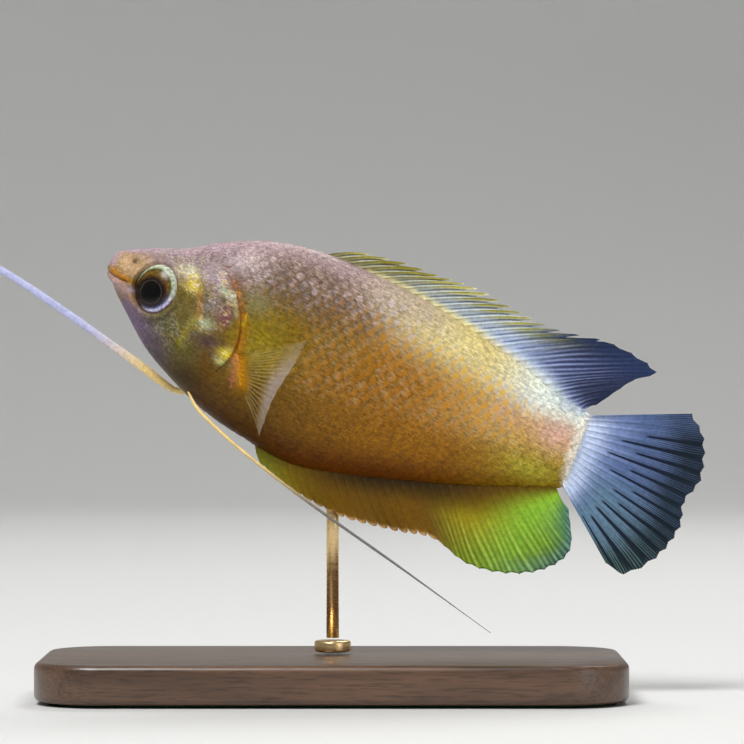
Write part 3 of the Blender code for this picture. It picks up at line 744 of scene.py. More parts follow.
def face_outward(mesh, merged=0.0):
    """Turns a mesh's faces outward, after merging any points nearer to each other than merged."""
    shape = bmesh.new()
    shape.from_mesh(mesh)
    if merged:
        bmesh.ops.remove_doubles(shape, verts=shape.verts, dist=merged)
    bmesh.ops.recalc_face_normals(shape, faces=shape.faces)
    shape.to_mesh(mesh)
    shape.free()


def keep_numbers(mesh, numbers):
    """Keeps numbers on a mesh's points, where its finish reads them."""
    for label, values in numbers.items():
        layer = mesh.attributes.new(label, "FLOAT", "POINT")
        layer.data.foreach_set("value", np.asarray(values, np.float32).ravel())


def mesh_piece(name, points, faces, tones, numbers=None, crisp=False):
    """A smooth mesh object from world points and faces, with colours and numbers kept on its points.

    A crisp one keeps its sharp edges."""
    mesh = bpy.data.meshes.new(name)
    mesh.from_pydata(points.reshape(-1, 3).tolist(), [], faces)
    face_outward(mesh)
    for label, values in tones.items():
        layer = mesh.color_attributes.new(label, "FLOAT_COLOR", "POINT")
        flat = np.concatenate((values.reshape(-1, 3), np.ones((values.size // 3, 1))), 1)
        layer.data.foreach_set("color", np.clip(flat, 0.0, 1.0).astype(np.float32).ravel())
    keep_numbers(mesh, numbers or {})
    mesh.shade_smooth()
    if crisp:
        mesh.set_sharp_from_angle(angle=CRISP_ANGLE)
    made = bpy.data.objects.new(name, mesh)
    bpy.context.scene.collection.objects.link(made)
    return made


def grid_faces(rows, columns, wrap=False):
    """Quads of a grid of points numbered row by row, wrapped round its columns if asked."""
    k = np.arange(columns if wrap else columns - 1)
    after = (k + 1) % columns
    faces = []
    for i in range(rows - 1):
        low, high = i * columns, (i + 1) * columns
        faces += np.stack((low + k, low + after, high + after, high + k), -1).tolist()
    return faces


def tube(rings, first, last):
    """Points and faces of a tube of rings, closed by a fan round a first and a last point."""
    rows, columns = rings.shape[:2]
    faces = grid_faces(rows, columns, wrap=True)
    start, end = rows * columns, (rows - 1) * columns
    for k in range(columns):
        after = (k + 1) % columns
        faces += [[start, after, k], [start + 1, end + k, end + after]]
    return np.concatenate((rings.reshape(-1, 3), (first, last))), faces


def vane_faces(columns, rows):
    """Faces of a closed vane: a near sheet, a far sheet and the rim between them."""
    count = columns * rows
    near = grid_faces(columns, rows)
    far = [[i + count for i in reversed(face)] for face in near]
    rim = [i * rows for i in range(columns - 1)] + [(columns - 1) * rows + k for k in range(rows - 1)]
    rim += [i * rows + rows - 1 for i in range(columns - 1, 0, -1)] + list(range(rows - 1, 0, -1))
    edge = [[i, j, j + count, i + count] for i, j in zip(rim, rim[1:] + rim[:1])]
    return near + far + edge


# Finishes


# Sockets of a node that mixes colours, by number.
MIX_FACTOR, MIX_FIRST, MIX_SECOND, MIX_RESULT = 0, 6, 7, 2


class Finish:
    """A Principled material and the nodes that feed it."""

    def __init__(self, name, roughness, coat=0.0, coat_roughness=0.1, specular=0.5, metallic=0.0):
        self.material = bpy.data.materials.new(name)
        self.material.use_nodes = True
        self.tree = self.material.node_tree
        self.shader = self.tree.nodes["Principled BSDF"]
        values = (roughness, coat, coat_roughness, specular, metallic)
        sockets = ("Roughness", "Coat Weight", "Coat Roughness", "Specular IOR Level", "Metallic")
        for socket, value in zip(sockets, values):
            self.shader.inputs[socket].default_value = value

    def node(self, kind, sockets=None, **settings):
        """A node; each of its sockets takes a plain value or another node's output."""
        made = self.tree.nodes.new(kind)
        for key, value in settings.items():
            setattr(made, key, value)
        for key, value in (sockets or {}).items():
            if isinstance(value, bpy.types.NodeSocket):
                self.tree.links.new(value, made.inputs[key])
            else:
                made.inputs[key].default_value = value
        return made

    def feed(self, socket, source):
        """Leads a source to one of the shader's sockets."""
        self.tree.links.new(source, self.shader.inputs[socket])

    def kept(self, name, output="Fac"):
        """A number or a colour kept on the piece's points."""
        return self.node("ShaderNodeAttribute", attribute_name=name).outputs[output]

    def cloud(self, scale, detail=2.0, roughness=0.5, along_fish=None, stretch=None, distortion=0.0):
        """Noise in the piece's own place, in cells to the metre, drawn out along the fish or by axes."""
        where = self.node("ShaderNodeTexCoord").outputs["Object"]
        if along_fish:
            turned = {"Vector": where, "Rotation": (0.0, GRAIN_TILT, 0.0), "Scale": (along_fish, 1.0, 1.0)}
            where = self.node("ShaderNodeMapping", turned, vector_type="TEXTURE").outputs["Vector"]
        if stretch:
            where = self.node("ShaderNodeMapping", {"Vector": where, "Scale": stretch}).outputs["Vector"]
        sockets = {"Vector": where, "Scale": scale, "Detail": detail, "Roughness": roughness}
        return self.node("ShaderNodeTexNoise", {**sockets, "Distortion": distortion}).outputs["Fac"]

    def ranged(self, source, low, high, to_low, to_high):
        """The source's run from low to high, as a run from to_low to to_high."""
        sockets = {"Value": source, "From Min": low, "From Max": high, "To Min": to_low, "To Max": to_high}
        return self.node("ShaderNodeMapRange", sockets).outputs["Result"]

    def maths(self, operation, *sources):
        """The value of a maths node over numbers and other nodes' values."""
        return self.node("ShaderNodeMath", dict(enumerate(sources)), operation=operation).outputs["Value"]

    def times(self, product, *sources):
        """The product of all the sources."""
        for source in sources:
            product = self.maths("MULTIPLY", product, source)
        return product

    def blend(self, factor, first, second, mode="MIX"):
        """Two colours, blended by a factor."""
        sockets = {MIX_FACTOR: factor, MIX_FIRST: first, MIX_SECOND: second}
        return self.node("ShaderNodeMix", sockets, data_type="RGBA", blend_type=mode).outputs[MIX_RESULT]

    def shade(self, base, light):
        """A colour multiplied by a light or a tint."""
        return self.blend(1.0, base, light, "MULTIPLY")

    def ramp(self, source, stops):
        """Colours laid along a value."""
        made = self.node("ShaderNodeValToRGB", {"Fac": source})
        while len(made.color_ramp.elements) < len(stops):
            made.color_ramp.elements.new(0.5)
        for element, (position, part) in zip(made.color_ramp.elements, stops):
            element.position = position
            element.color = (*part, 1.0)
        return made.outputs["Color"]

    def bump(self, height, strength, distance):
        """Fine relief from a height."""
        sockets = {"Height": height, "Strength": strength, "Distance": distance}
        self.feed("Normal", self.node("ShaderNodeBump", sockets).outputs["Normal"])

    def hair_lines(self, scale, count):
        """Fine curling lines, as level lines of a cloud."""
        folded = self.maths("PINGPONG", self.times(self.cloud(scale, 2.0, 0.5, along_fish=1.5), count), 0.5)
        return self.ranged(folded, 0.02, 0.11, 1.0, 0.0)

    def oval(self, reach, spread, middle, half_reach, aside, half_spread):
        """1 in the middle of an oval on each scale and 0 outside it."""
        x = self.maths("MULTIPLY_ADD", reach, 1 / half_reach, -middle / half_reach)
        y = self.maths("MULTIPLY_ADD", spread, 1 / half_spread, -aside / half_spread)
        distance = self.maths("SQRT", self.maths("ADD", self.times(x, x), self.times(y, y)))
        return self.ranged(distance, 0.35, 1.0, 1.0, 0.0)


# Colours of the many-coloured painted glints, along a cloud.
PLAY = (
    (0.38, (0.34, 0.13, 0.22)),
    (0.45, (0.66, 0.52, 0.70)),
    (0.50, (0.62, 0.76, 0.48)),
    (0.55, (0.86, 0.84, 0.42)),
    (0.62, (0.84, 0.52, 0.01)),
)


def living_skin(name, play_share, orange=None):
    """Wet skin: the piece's own markings, mottled, with curling lines and painted glints where it says.

    The painted glints take the piece's own sheen, with many-coloured ones among them by play_share.
    Scales are given an orange: each then has a greyer ground, painted shade at its front where the scale
    ahead lies over it, a heart of painted glints, an orange mark and a pale rim."""
    skin = Finish(name, 0.42, coat=0.05, coat_roughness=0.2, specular=0.16)
    tone, sheen, glint = skin.kept("tone", "Color"), skin.kept("sheen", "Color"), skin.kept("glint")
    mottle = skin.cloud(2200.0, 4.0, 0.7)
    flecks = skin.cloud(5000.0, 1.5, 0.5, along_fish=4.5)
    drift = skin.cloud(1500.0, 3.0, 0.65)
    patches = skin.cloud(1000.0, 3.0, 0.6, along_fish=1.3)
    base = skin.shade(tone, skin.ranged(mottle, 0.34, 0.66, 0.72, 1.26))
    base = skin.shade(base, skin.ranged(flecks, 0.38, 0.62, 0.82, 1.17))
    glint_colour = skin.blend(play_share, sheen, skin.ramp(drift, PLAY))
    where = skin.ranged(patches, 0.43, 0.55, 0.0, 1.0)
    thin = skin.ranged(flecks, 0.500, 0.565, 0.0, 1.0)
    pale = skin.blend(0.22, skin.shade(tone, (2.2, 2.1, 1.8, 1.0)), sheen)
    uneven = skin.ranged(drift, 0.41, 0.51, 0.15, 1.0)
    base = skin.blend(skin.times(skin.hair_lines(900.0, 7.0), skin.kept("curl"), uneven), base, pale)
    if orange:
        reach, spread, mark_share = skin.kept("reach"), skin.kept("spread"), skin.kept("mark")
        ragged = skin.ranged(mottle, 0.34, 0.66, -0.45, 0.45)
        heart = skin.maths("ADD", skin.oval(reach, spread, 0.62, 0.29, 0.05, 0.85), ragged)
        mark = skin.maths("ADD", skin.oval(reach, spread, 0.90, 0.31, -0.14, 1.05), ragged)
        mark = skin.ranged(mark, 0.10, 0.80, 0.0, 1.0)
        mark_tone = skin.blend(0.35, skin.shade(tone, (1.45, 1.18, 0.08, 1.0)), (*orange, 1.0))
        # Painted shade at each scale's front, where the scale ahead overlaps it, fading to a slightly
        # lighter rear; the rim number sets its depth.
        sunk = skin.times(skin.kept("rim"), 1.8)
        base = skin.blend(sunk, base, skin.ranged(reach, 0.34, 0.80, 0.72, 1.10), "MULTIPLY")
        rear = skin.ranged(reach, 0.93, 0.99, 0.0, 1.0)
        sides = skin.ranged(skin.maths("ABSOLUTE", spread), 0.84, 0.97, 0.0, 1.0)
        rim = skin.times(skin.maths("MAXIMUM", rear, sides), skin.kept("rim"))
        rim = skin.times(rim, skin.ranged(mottle, 0.40, 0.56, 0.15, 1.0))
        broken = skin.ranged(flecks, 0.42, 0.56, 0.66, 1.0)
        base = skin.blend(skin.times(mark_share, 0.8), base, skin.shade(base, (0.96, 1.04, 1.6, 1.0)))
        base = skin.blend(skin.times(mark, mark_share, broken), base, mark_tone)
        base = skin.blend(rim, base, pale)
        # Each scale's painted glints gather in its heart.
        glint = skin.times(glint, skin.ranged(heart, 0.05, 0.85, 0.10, 0.95))
        where = skin.ranged(patches, 0.34, 0.50, 0.35, 1.0)
    # The painted glints: a veil of their colour over the patches, then bright streaks.
    veiled = skin.blend(skin.times(where, glint, 0.42 if orange else 0.22), base, glint_colour)
    skin.feed("Base Color", skin.blend(skin.times(thin, where, glint, 0.85), veiled, glint_colour))
    skin.feed("Roughness", skin.ranged(mottle, 0.3, 0.7, 0.32, 0.52))
    skin.bump(flecks, 0.20, 0.00006)
    return skin.material


def fin_finish(name, clear=False):
    """Thin fin: the piece's own colours with a fine grain, and see-through where the piece says."""
    fin = Finish(name, 0.46, specular=0.16)
    grain = fin.cloud(2200.0, 3.0, 0.6)
    fin.feed("Base Color", fin.shade(fin.kept("tone", "Color"), fin.ranged(grain, 0.3, 0.7, 0.82, 1.18)))
    if clear:
        fin.feed("Alpha", fin.kept("solidness"))
    fin.bump(grain, 0.3, 0.00004)
    return fin.material


PUPIL_EDGE = (
    (0.00, (0.001, 0.001, 0.001)),
    (0.420, (0.001, 0.001, 0.001)),
    (0.455, (0.045, 0.030, 0.022)),
    (0.500, (0.006, 0.003, 0.002)),
)
IRIS_FRONT = (
    *PUPIL_EDGE,
    (0.70, (0.012, 0.006, 0.005)),
    (0.84, (0.030, 0.014, 0.006)),
    (0.90, (0.070, 0.035, 0.012)),
    (1.00, (0.16, 0.07, 0.022)),
)
# Below and behind, the pale lavender band near the iris's edge is a painted highlight.
IRIS_BELOW = (
    *PUPIL_EDGE,
    (0.70, (0.012, 0.010, 0.022)),
    (0.78, (0.10, 0.09, 0.22)),
    (0.86, (0.66, 0.66, 0.90)),
    (0.93, (0.20, 0.12, 0.20)),
    (0.97, (0.15, 0.035, 0.012)),
    (1.00, (0.11, 0.025, 0.008)),
)
IRIS_ABOVE = (
    *PUPIL_EDGE,
    (0.60, (0.036, 0.016, 0.005)),
    (0.70, (0.15, 0.080, 0.008)),
    (0.76, (0.075, 0.055, 0.014)),
    (0.82, (0.36, 0.42, 0.27)),
    (0.91, (0.50, 0.55, 0.42)),
    (1.00, (0.64, 0.56, 0.44)),
)


def eye_finish():
    """A wet eye: a black pupil with a thin brown ring, and a dark iris with a gold top inside a pale ring.

    Below and behind, the iris has a lavender crescent, a painted highlight, and a red-brown rim."""
    eye = Finish("eye_finish", 0.24, coat=0.09, coat_roughness=0.09, specular=0.22)
    ring = eye.kept("ring")
    upper = eye.ranged(eye.kept("height"), -0.25, 0.35, 0.0, 1.0)
    rear = eye.ranged(eye.kept("rearward"), -0.30, 0.25, 0.0, 1.0)
    lower = eye.blend(rear, eye.ramp(ring, IRIS_FRONT), eye.ramp(ring, IRIS_BELOW))
    base = eye.blend(upper, lower, eye.ramp(ring, IRIS_ABOVE))
    eye.feed("Base Color", eye.shade(base, eye.ranged(eye.cloud(2600.0, 4.0, 0.65), 0.34, 0.66, 0.45, 1.40)))
    return eye.material


def wood_finish(colours):
    """Dark satin wood: long grain along the base with fine pores."""
    wood = Finish("dark_wood", 0.35, coat=0.35, coat_roughness=0.25)
    grain = wood.cloud(3.0, 8.0, 0.62, stretch=WOOD_STRETCH, distortion=0.7)
    pores = wood.cloud(34.0, stretch=WOOD_STRETCH)
    pale = tuple(min(1.0, 2.6 * part) for part in colours.wood)
    base = wood.blend(wood.ranged(grain, 0.35, 0.68, 0.0, 1.0), (*colours.wood, 1.0), (*pale, 1.0))
    wood.feed("Base Color", wood.shade(base, wood.ranged(pores, 0.35, 0.5, 0.55, 1.0)))
    wood.feed("Roughness", wood.ranged(grain, 0.3, 0.7, 0.30, 0.48))
    wood.bump(pores, 0.15, 0.00005)
    return wood.material


def metal_finish(colours):
    """Fine brushed brass."""
    brass = Finish("brushed_brass", 0.28, metallic=1.0)
    lines = brass.cloud(1.0, 3.0, stretch=BRUSH_STRETCH)
    brass.feed("Base Color", brass.shade((*colours.metal, 1.0), brass.ranged(lines, 0.3, 0.7, 0.94, 1.05)))
    brass.feed("Roughness", brass.ranged(lines, 0.3, 0.7, 0.2, 0.38))
    return brass.material


def felt_finish():
    """Dark green felt."""
    felt = Finish("green_felt", 0.95, specular=0.1)
    fuzz = felt.cloud(3000.0, 4.0)
    felt.feed("Base Color", felt.blend(fuzz, (0.006, 0.02, 0.010, 1.0), (0.02, 0.055, 0.03, 1.0)))
    felt.bump(fuzz, 0.6, 0.0001)
    return felt.material


def floor_finish(colours):
    """The plain, very slightly clouded floor and backdrop."""
    floor = Finish("pale_floor", 0.7, specular=0.2)
    light = floor.ranged(floor.cloud(3.0), 0.3, 0.7, 0.98, 1.02)
    floor.feed("Base Color", floor.shade((*colours.floor, 1.0), light))
    return floor.material


# Body


def body_turns(count):
    """Turns round a section, closer along the widest line, where the mouth and the eyes are."""
    even = 2 * np.pi * np.arange(count) / count
    return even - 0.22 * np.sin(2 * even)


def skin_rings(turns, inset):
    """Rings of the skin from the snout to the root of the tail fin, with the gill cover's free edge."""
    front, gill = BODY_SHAPE[0, 0], gill_line(turns)
    rings = [
        skin_point(front + (gill - front) * share**1.25, turns, -inset)
        for share in np.linspace(0.0, 1.0, HEAD_RINGS)
    ]
    flap = gill_flap(gill, section_point(gill, turns)[..., 2])
    undercut = ease(0.15, 0.6, flap)
    for plain, back, rise in GILL_EDGE:
        behind = gill + plain + (back - plain) * undercut
        rings.append(section_point(behind, turns, rise * flap - inset))
    for share in np.linspace(0.012, 1.0, TRUNK_RINGS):
        rings.append(section_point(gill + (STANDARD_LENGTH - gill) * share, turns, -inset))
    return np.array(rings)


class GOURAMI_OT_body_skin(bpy.types.Operator):
    """Model one skin for head, trunk and tail, with mouth, nostrils, eye sockets and gill covers"""

    bl_idname = "gourami.body_skin"
    bl_label = "Body Skin"

    def execute(self, context):
        sizes, colours = context.scene.gourami_sizes, context.scene.gourami_colours
        rings = skin_rings(body_turns(sizes.body_points), sizes.skin_inset)
        points, faces = tube(rings, rings[0].mean(0), rings[-1].mean(0))
        tones = {"tone": markings(points, colours), "sheen": sheens(points)}
        numbers = {"glint": glints(points), "curl": curls(points)}
        made = mesh_piece("skin", place(points), faces, tones, numbers)
        finish_piece(made, living_skin("skin_finish", 0.85), "head_skin", "head", "trunk", "tail")
        return {"FINISHED"}


# Scales


class ScaleMap:
    """Finds points of the body from the distance behind the snout and the way round from the widest line."""

    def __init__(self):
        self.stations = np.arange(3.0, 61.01, STATION_STEP)
        turns = np.radians(np.linspace(-89.9, 89.9, 241))
        grid = section_point(self.stations[:, None], turns[None, :])
        steps = np.linalg.norm(np.diff(grid[..., 1:], axis=1), axis=-1)
        way = np.concatenate((np.zeros((len(grid), 1)), np.cumsum(steps, axis=1)), 1)
        way -= way[:, [120]]
        self.top, self.bottom = way[:, -1], way[:, 0]
        self.ways = np.arange(-22.0, 22.01, WAY_STEP)
        self.turns = np.array([np.interp(self.ways, row, turns) for row in way])

    def turn(self, a, way):
        i = np.clip((a - self.stations[0]) / STATION_STEP, 0, len(self.stations) - 1.001)
        j = np.clip((way - self.ways[0]) / WAY_STEP, 0, len(self.ways) - 1.001)
        low_i, low_j = i.astype(int), j.astype(int)
        u, w = i - low_i, j - low_j
        t = self.turns
        return (
            t[low_i, low_j] * (1 - u) * (1 - w)
            + t[low_i + 1, low_j] * u * (1 - w)
            + t[low_i, low_j + 1] * (1 - u) * w
            + t[low_i + 1, low_j + 1] * u * w
        )

    def limits(self, a):
        return np.interp(a, self.stations, self.bottom), np.interp(a, self.stations, self.top)


def scale_roots(scale_map, pitch, row_pitch, random):
    """Middles of the scales of one flank, in rows set off by half a step, where scales grow."""
    roots = []
    for row in range(-SCALE_ROW_COUNT, SCALE_ROW_COUNT + 1):
        offset = pitch / 2 if row % 2 else 0.0
        for a in np.arange(FIRST_SCALE + offset, LAST_SCALE, pitch):
            way = row * row_pitch
            low, high = scale_map.limits(a)
            if not low + BELLY_MARGIN < way < high - BACK_MARGIN:
                continue
            turn = scale_map.turn(np.array(a), np.array(way))
            c = float(section_point(np.array(a), turn)[2])
            gill = float(gill_line(turn))
            on_trunk = a > gill + GILL_MARGIN
            bare = 1 - abs(float(head_relief(section_point(np.array(a), turn)))) / 0.05
            inside = min(bare, (c - 4.9 - 0.12 * (14 - a)) / 1.3, (a - 9.6) / 1.2)
            if on_trunk or inside > 0:
                size = 1.0 - 0.15 * float(ease(14.0, 9.0, a)) - 0.22 * float(ease(42.0, 59.0, a))
                sunk = 0.0 if on_trunk else 0.11 * (1 - inside)
                roots.append((a, way, size * (1 + 0.04 * random.standard_normal()), not on_trunk, sunk))
    return np.array(roots)


def scale_template():
    """Local places of a scale's points: along and across it, from its front edge to its rounded rear."""
    share = SCALE_SHARES
    along_scale = SCALE_FRONT + (SCALE_REAR - SCALE_FRONT) * share
    rounding = np.sqrt(1 - 0.97 * np.clip((share - 0.42) / 0.58, 0.0, 1.0) ** 2)
    across = np.linspace(-1.0, 1.0, SCALE_COLUMNS)
    u = along_scale[:, None] - 0.10 * (across[None, :] ** 2) * ease(0.4, 1.0, share)[:, None]
    w = SCALE_WIDTH * rounding[:, None] * across[None, :]
    return u, w, share[:, None] + 0 * w, across[None, :] + 0 * w


def scale_sheet(scale_map, roots, side, sizes, random):
    """Points of every scale's top and under side, with their share along and across the scale."""
    u, w, share, across = scale_template()
    a = roots[:, 0, None, None] + u * roots[:, 2, None, None]
    way = roots[:, 1, None, None] + w * roots[:, 2, None, None]
    tilt, roll = 0.08 * random.standard_normal((2, len(roots), 1, 1))
    way = way + tilt * u
    turn = scale_map.turn(a, way)
    turn = np.where(side > 0, turn, np.pi - turn)
    relief = head_relief(section_point(a, turn)) * roots[:, 3, None, None] * (a < gill_line(turn) + 0.02)
    here = section_point(a, turn, relief)
    behind, above = section_point(a + 0.05, turn, relief), section_point(a, turn + 0.01, relief)
    normal = np.cross(behind - here, above - here)
    normal /= np.linalg.norm(normal, axis=-1, keepdims=True)
    outward = np.sign(normal[..., 1] * np.cos(turn) + normal[..., 2] * np.sin(turn))[..., None]
    normal = normal * outward
    loose = (1 + 0.12 * random.standard_normal(len(roots)))[:, None, None]
    flat = 1 - 0.4 * ease(44, 56, a)
    rise = sizes.scale_lift - SCALE_SLOPE * flat * (1 - share) * loose - 0.12 * ease(0.35, 0.0, share)
    rise = rise - 0.012 * across**2 + 0.06 * flat**2 * roll * across * share - roots[:, 4, None, None]
    top = here + normal * rise[..., None]
    under = here + normal * (rise - sizes.scale_thickness)[..., None]
    return top, under, share, across


def scale_tones(top, roots, colours, random):
    """Each scale's markings: mostly the body's colour in its middle, a little unlike the next scale's."""
    middle = top[:, 4:5, 2:3]
    light = (1 + 0.035 * random.standard_normal(len(roots)))[:, None, None, None]
    return np.clip(markings(0.6 * top + 0.4 * middle, colours) * light, 0.0, 1.0)


def bake_patches(made, a, way, share, across, side):
    """The OFBake map: each scale is a patch at its root's place on an unwrap of the flanks."""
    u = 0.02 + 0.46 * a / 64.0 + (0.5 if side < 0 else 0.0)
    v = 0.5 + way / 46.0
    point_u = u[:, None, None] + (share - 0.5) * PATCH
    point_v = v[:, None, None] + across * PATCH / 2
    both = np.stack((np.concatenate((point_u, point_u), 1), np.concatenate((point_v, point_v), 1)), -1)
    flat = both.reshape(-1, 2)
    layer = made.data.uv_layers.new(name="OFBake")
    index = np.empty(len(made.data.loops), np.int32)
    made.data.loops.foreach_get("vertex_index", index)
    layer.data.foreach_set("uv", flat[index].astype(np.float32).ravel())


class GOURAMI_OT_scales(bpy.types.Operator):
    """Model the overlapping scales of both flanks and the nape"""

    bl_idname = "gourami.scales"
    bl_label = "Scales"

    def execute(self, context):
        sizes, colours = context.scene.gourami_sizes, context.scene.gourami_colours
        random = np.random.default_rng(sizes.seed)
        scale_map = ScaleMap()
        finish = living_skin("scale_finish", 0.12, tuple(colours.orange))
        for name, side in (("scales_left", 1), ("scales_right", -1)):
            roots = scale_roots(scale_map, sizes.scale_pitch, sizes.row_pitch, random)
            top, under, share, across = scale_sheet(scale_map, roots, side, sizes, random)
            one = vane_faces(SCALE_ROWS, SCALE_COLUMNS)
            per_scale = 2 * SCALE_ROWS * SCALE_COLUMNS
            faces = [[i + per_scale * n for i in face] for n in range(len(roots)) for face in one]
            points = np.concatenate((top, under), 1)
            tones = scale_tones(top, roots, colours, random)
            tones = {"tone": np.concatenate((tones, tones), 1), "sheen": sheens(points)}
            play = np.clip(0.90 * random.random((2, len(roots), 1, 1)) + 0.25, 0.0, 1.0)
            numbers = {
                "glint": glints(points) * play[0],
                "mark": orange_marks(points) * np.minimum(play[1] + 0.15, 1.0),
                "rim": rims(points),
                "curl": curls(points),
                "reach": np.broadcast_to(np.concatenate((share, share)), points.shape[:-1]),
                "spread": np.broadcast_to(np.concatenate((across, across)), points.shape[:-1]),
            }
            made = mesh_piece(name, place(points), faces, tones, numbers, crisp=True)
            bake_patches(made, roots[:, 0], roots[:, 1], share, across, side)
            finish_piece(made, finish, "flank_skin")
        return {"FINISHED"}


# Eyes


def eye_profile(ring):
    """How far the eye stands out at a share of its radius: a dome over a slightly sunk iris."""
    return np.sqrt(np.clip(1 - ring**2, 0.0, 1.0)) * (1 + 0.05 * hump(ring - 0.9, 0.07))


class GOURAMI_OT_eyes(bpy.types.Operator):
    """Model both eyes, each a flattened glossy ball set in its socket"""

    bl_idname = "gourami.eyes"
    bl_label = "Eyes"

    def execute(self, context):
        finish = eye_finish()
        for name, side in (("eye_left", 1), ("eye_right", -1)):
            deselect_all()
            bpy.ops.mesh.primitive_uv_sphere_add(segments=EYE_SEGMENTS, ring_count=EYE_RINGS, radius=1.0)
            ball = context.object
            ball.name = f"{name}_ball"
            flat = np.empty(len(ball.data.vertices) * 3)
            ball.data.vertices.foreach_get("co", flat)
            x, y, z = flat.reshape(-1, 3).T
            ring = np.hypot(x, y)
            out = np.sign(z) * eye_profile(ring)
            along_eye, up, outward = x * EYE_RADIUS, y * EYE_RADIUS * EYE_HEIGHT, out * EYE_BULGE
            run, rise = math.cos(EYE_FORWARD), math.sin(EYE_FORWARD)
            a = EYE_CENTRE[0] + along_eye * run - outward * rise
            b = EYE_CENTRE[1] + along_eye * rise + outward * run
            points = place(np.stack((a, side * b, EYE_CENTRE[2] + up), -1))
            ball.data.vertices.foreach_set("co", points.ravel())
            face_outward(ball.data)
            pupil_off = np.hypot(x - PUPIL_CENTRE[0], y - PUPIL_CENTRE[1]) / PUPIL_SIZE
            share = np.where(ring < 0.8, pupil_off + (ring - pupil_off) * ease(0.5, 0.8, ring), ring)
            share = np.where(z < 0, 1.0, share)
            keep_numbers(ball.data, {"ring": share, "height": 0.98 * y + 0.18 * x, "rearward": x})
            ball.data.shade_smooth()
            finish_piece(ball, finish, "eye", name)
        return {"FINISHED"}


# Fins


def fin_ridge(ray, v, spines, fork):
    """1 on the crest of a ray and 0 between rays. Soft rays split at fork, and again further out."""
    off = ray - np.round(ray)
    soft = ease(spines - 0.6, spines - 0.4, ray)
    first = 0.24 * ease(fork, 1.0, v) * soft
    second = 0.11 * ease(fork + 0.22, 1.0, v) * soft
    width = 0.17 - 0.07 * ease(fork, 1.0, v) * soft - 0.08 * v * (1 - soft)
    near = np.full(np.shape(off + v), 9.0)
    for one in (-1, 1):
        for two in (-1, 1):
            near = np.minimum(near, np.abs(off - one * first - two * second))
    return np.exp(-((near / width) ** 2))


def build_vane(name, mid, half, across, tones, numbers=None):
    """A closed vane through mid points, thickened by half to both sides of it."""
    columns, rows = mid.shape[:2]
    points = np.concatenate((mid + across * half[..., None], mid - across * half[..., None]))
    doubled = {label: np.concatenate((values, values)) for label, values in (numbers or {}).items()}
    faces = vane_faces(columns, rows)
    return mesh_piece(name, place(points), faces, {"tone": np.concatenate((tones, tones))}, doubled)


def fin_grid(rays, points_per_ray, rows):
    """Ray numbers, shares from root to margin, and both spread over the fin."""
    ray = np.linspace(0.0, rays - 1, (rays - 1) * points_per_ray + 1)
    v = np.linspace(0.0, 1.0, rows)
    return ray, v, *np.broadcast_arrays(ray[:, None], v[None, :])


def off_ray(ray):
    """0 on a ray and 1 midway between two rays."""
    return np.abs(ray - np.round(ray)) * 2


def fibres(turns):
    """Swings from 1 to 0 and back with every whole turn."""
    return 0.5 + 0.5 * np.cos(2 * np.pi * turns)


def fin_tip(margin, ray):
    """The margin's points at the rays."""
    return np.stack((along(margin, ray, 1), 0 * ray, along(margin, ray, 2)), -1)


def fin_lean(ray):
    """How far the margin waves to either side at the rays."""
    return np.stack((0 * ray, FIN_WAVE * np.sin(2 * np.pi * ray / FIN_WAVE_RAYS), 0 * ray), -1)


def fin_sheet(v, root, tip, bow, lean, notch):
    """Middle points of a fin for shares from root to margin, with its rays' roots and tips."""
    span = tip - root
    reach = v[None, :, None] * (1 - notch[:, None, None])
    arch = np.asarray(bow) * (4 * v * (1 - v))[None, :, None]
    return root[:, None] + span[:, None] * reach + arch + lean[:, None] * (v**2)[None, :, None]


def spiny_notch(ray, spines, deep, shallow):
    """How far the margin draws back behind each spine's tip and between soft rays, as a share of length."""
    phase = ray - np.floor(ray + 1e-6)
    saw = ease(0.26, 0.50, phase) * (1 - phase) / 0.5
    spiny = ease(spines - 0.4, spines - 0.9, ray)
    return deep * spiny * saw + shallow * (1 - spiny) * off_ray(ray) ** 0.55


def scalloped_notch(ray, spines, deep, shallow):
    """The same for a margin of small round lobes, one to a spine, and of soft rays behind them."""
    off = off_ray(ray)
    spiny = ease(spines - 0.4, spines - 0.9, ray)
    return deep * spiny * (1 - np.sqrt(1 - 0.98 * off**2)) + shallow * (1 - spiny) * off**0.55


def median_sheet(ray, v, roots, edge, side_sign, margin, notch):
    """Middle points of a fin on the back or the belly, rooted along that edge of the body."""
    a = roots[0] + (roots[1] - roots[0]) * ray / ray[-1]
    c = along(BODY_SHAPE, a, edge) - side_sign * FIN_DEPTH
    root = np.stack((a, 0 * a, c), -1)
    return fin_sheet(v, root, fin_tip(margin, ray), (0.0, 0.0, side_sign * FIN_BOW), fin_lean(ray), notch)


SIDEWAYS = np.array((0.0, 1.0, 0.0))


def fin_half(ridge, v, sizes):
    """Half the fin's thickness: membrane and rays, thinner towards the margin."""
    membrane = sizes.membrane / 2 * (1 - 0.4 * v)
    return membrane + sizes.ray_height * ridge * (1 - 0.65 * v) + 0.12 * (1 - v) ** 6


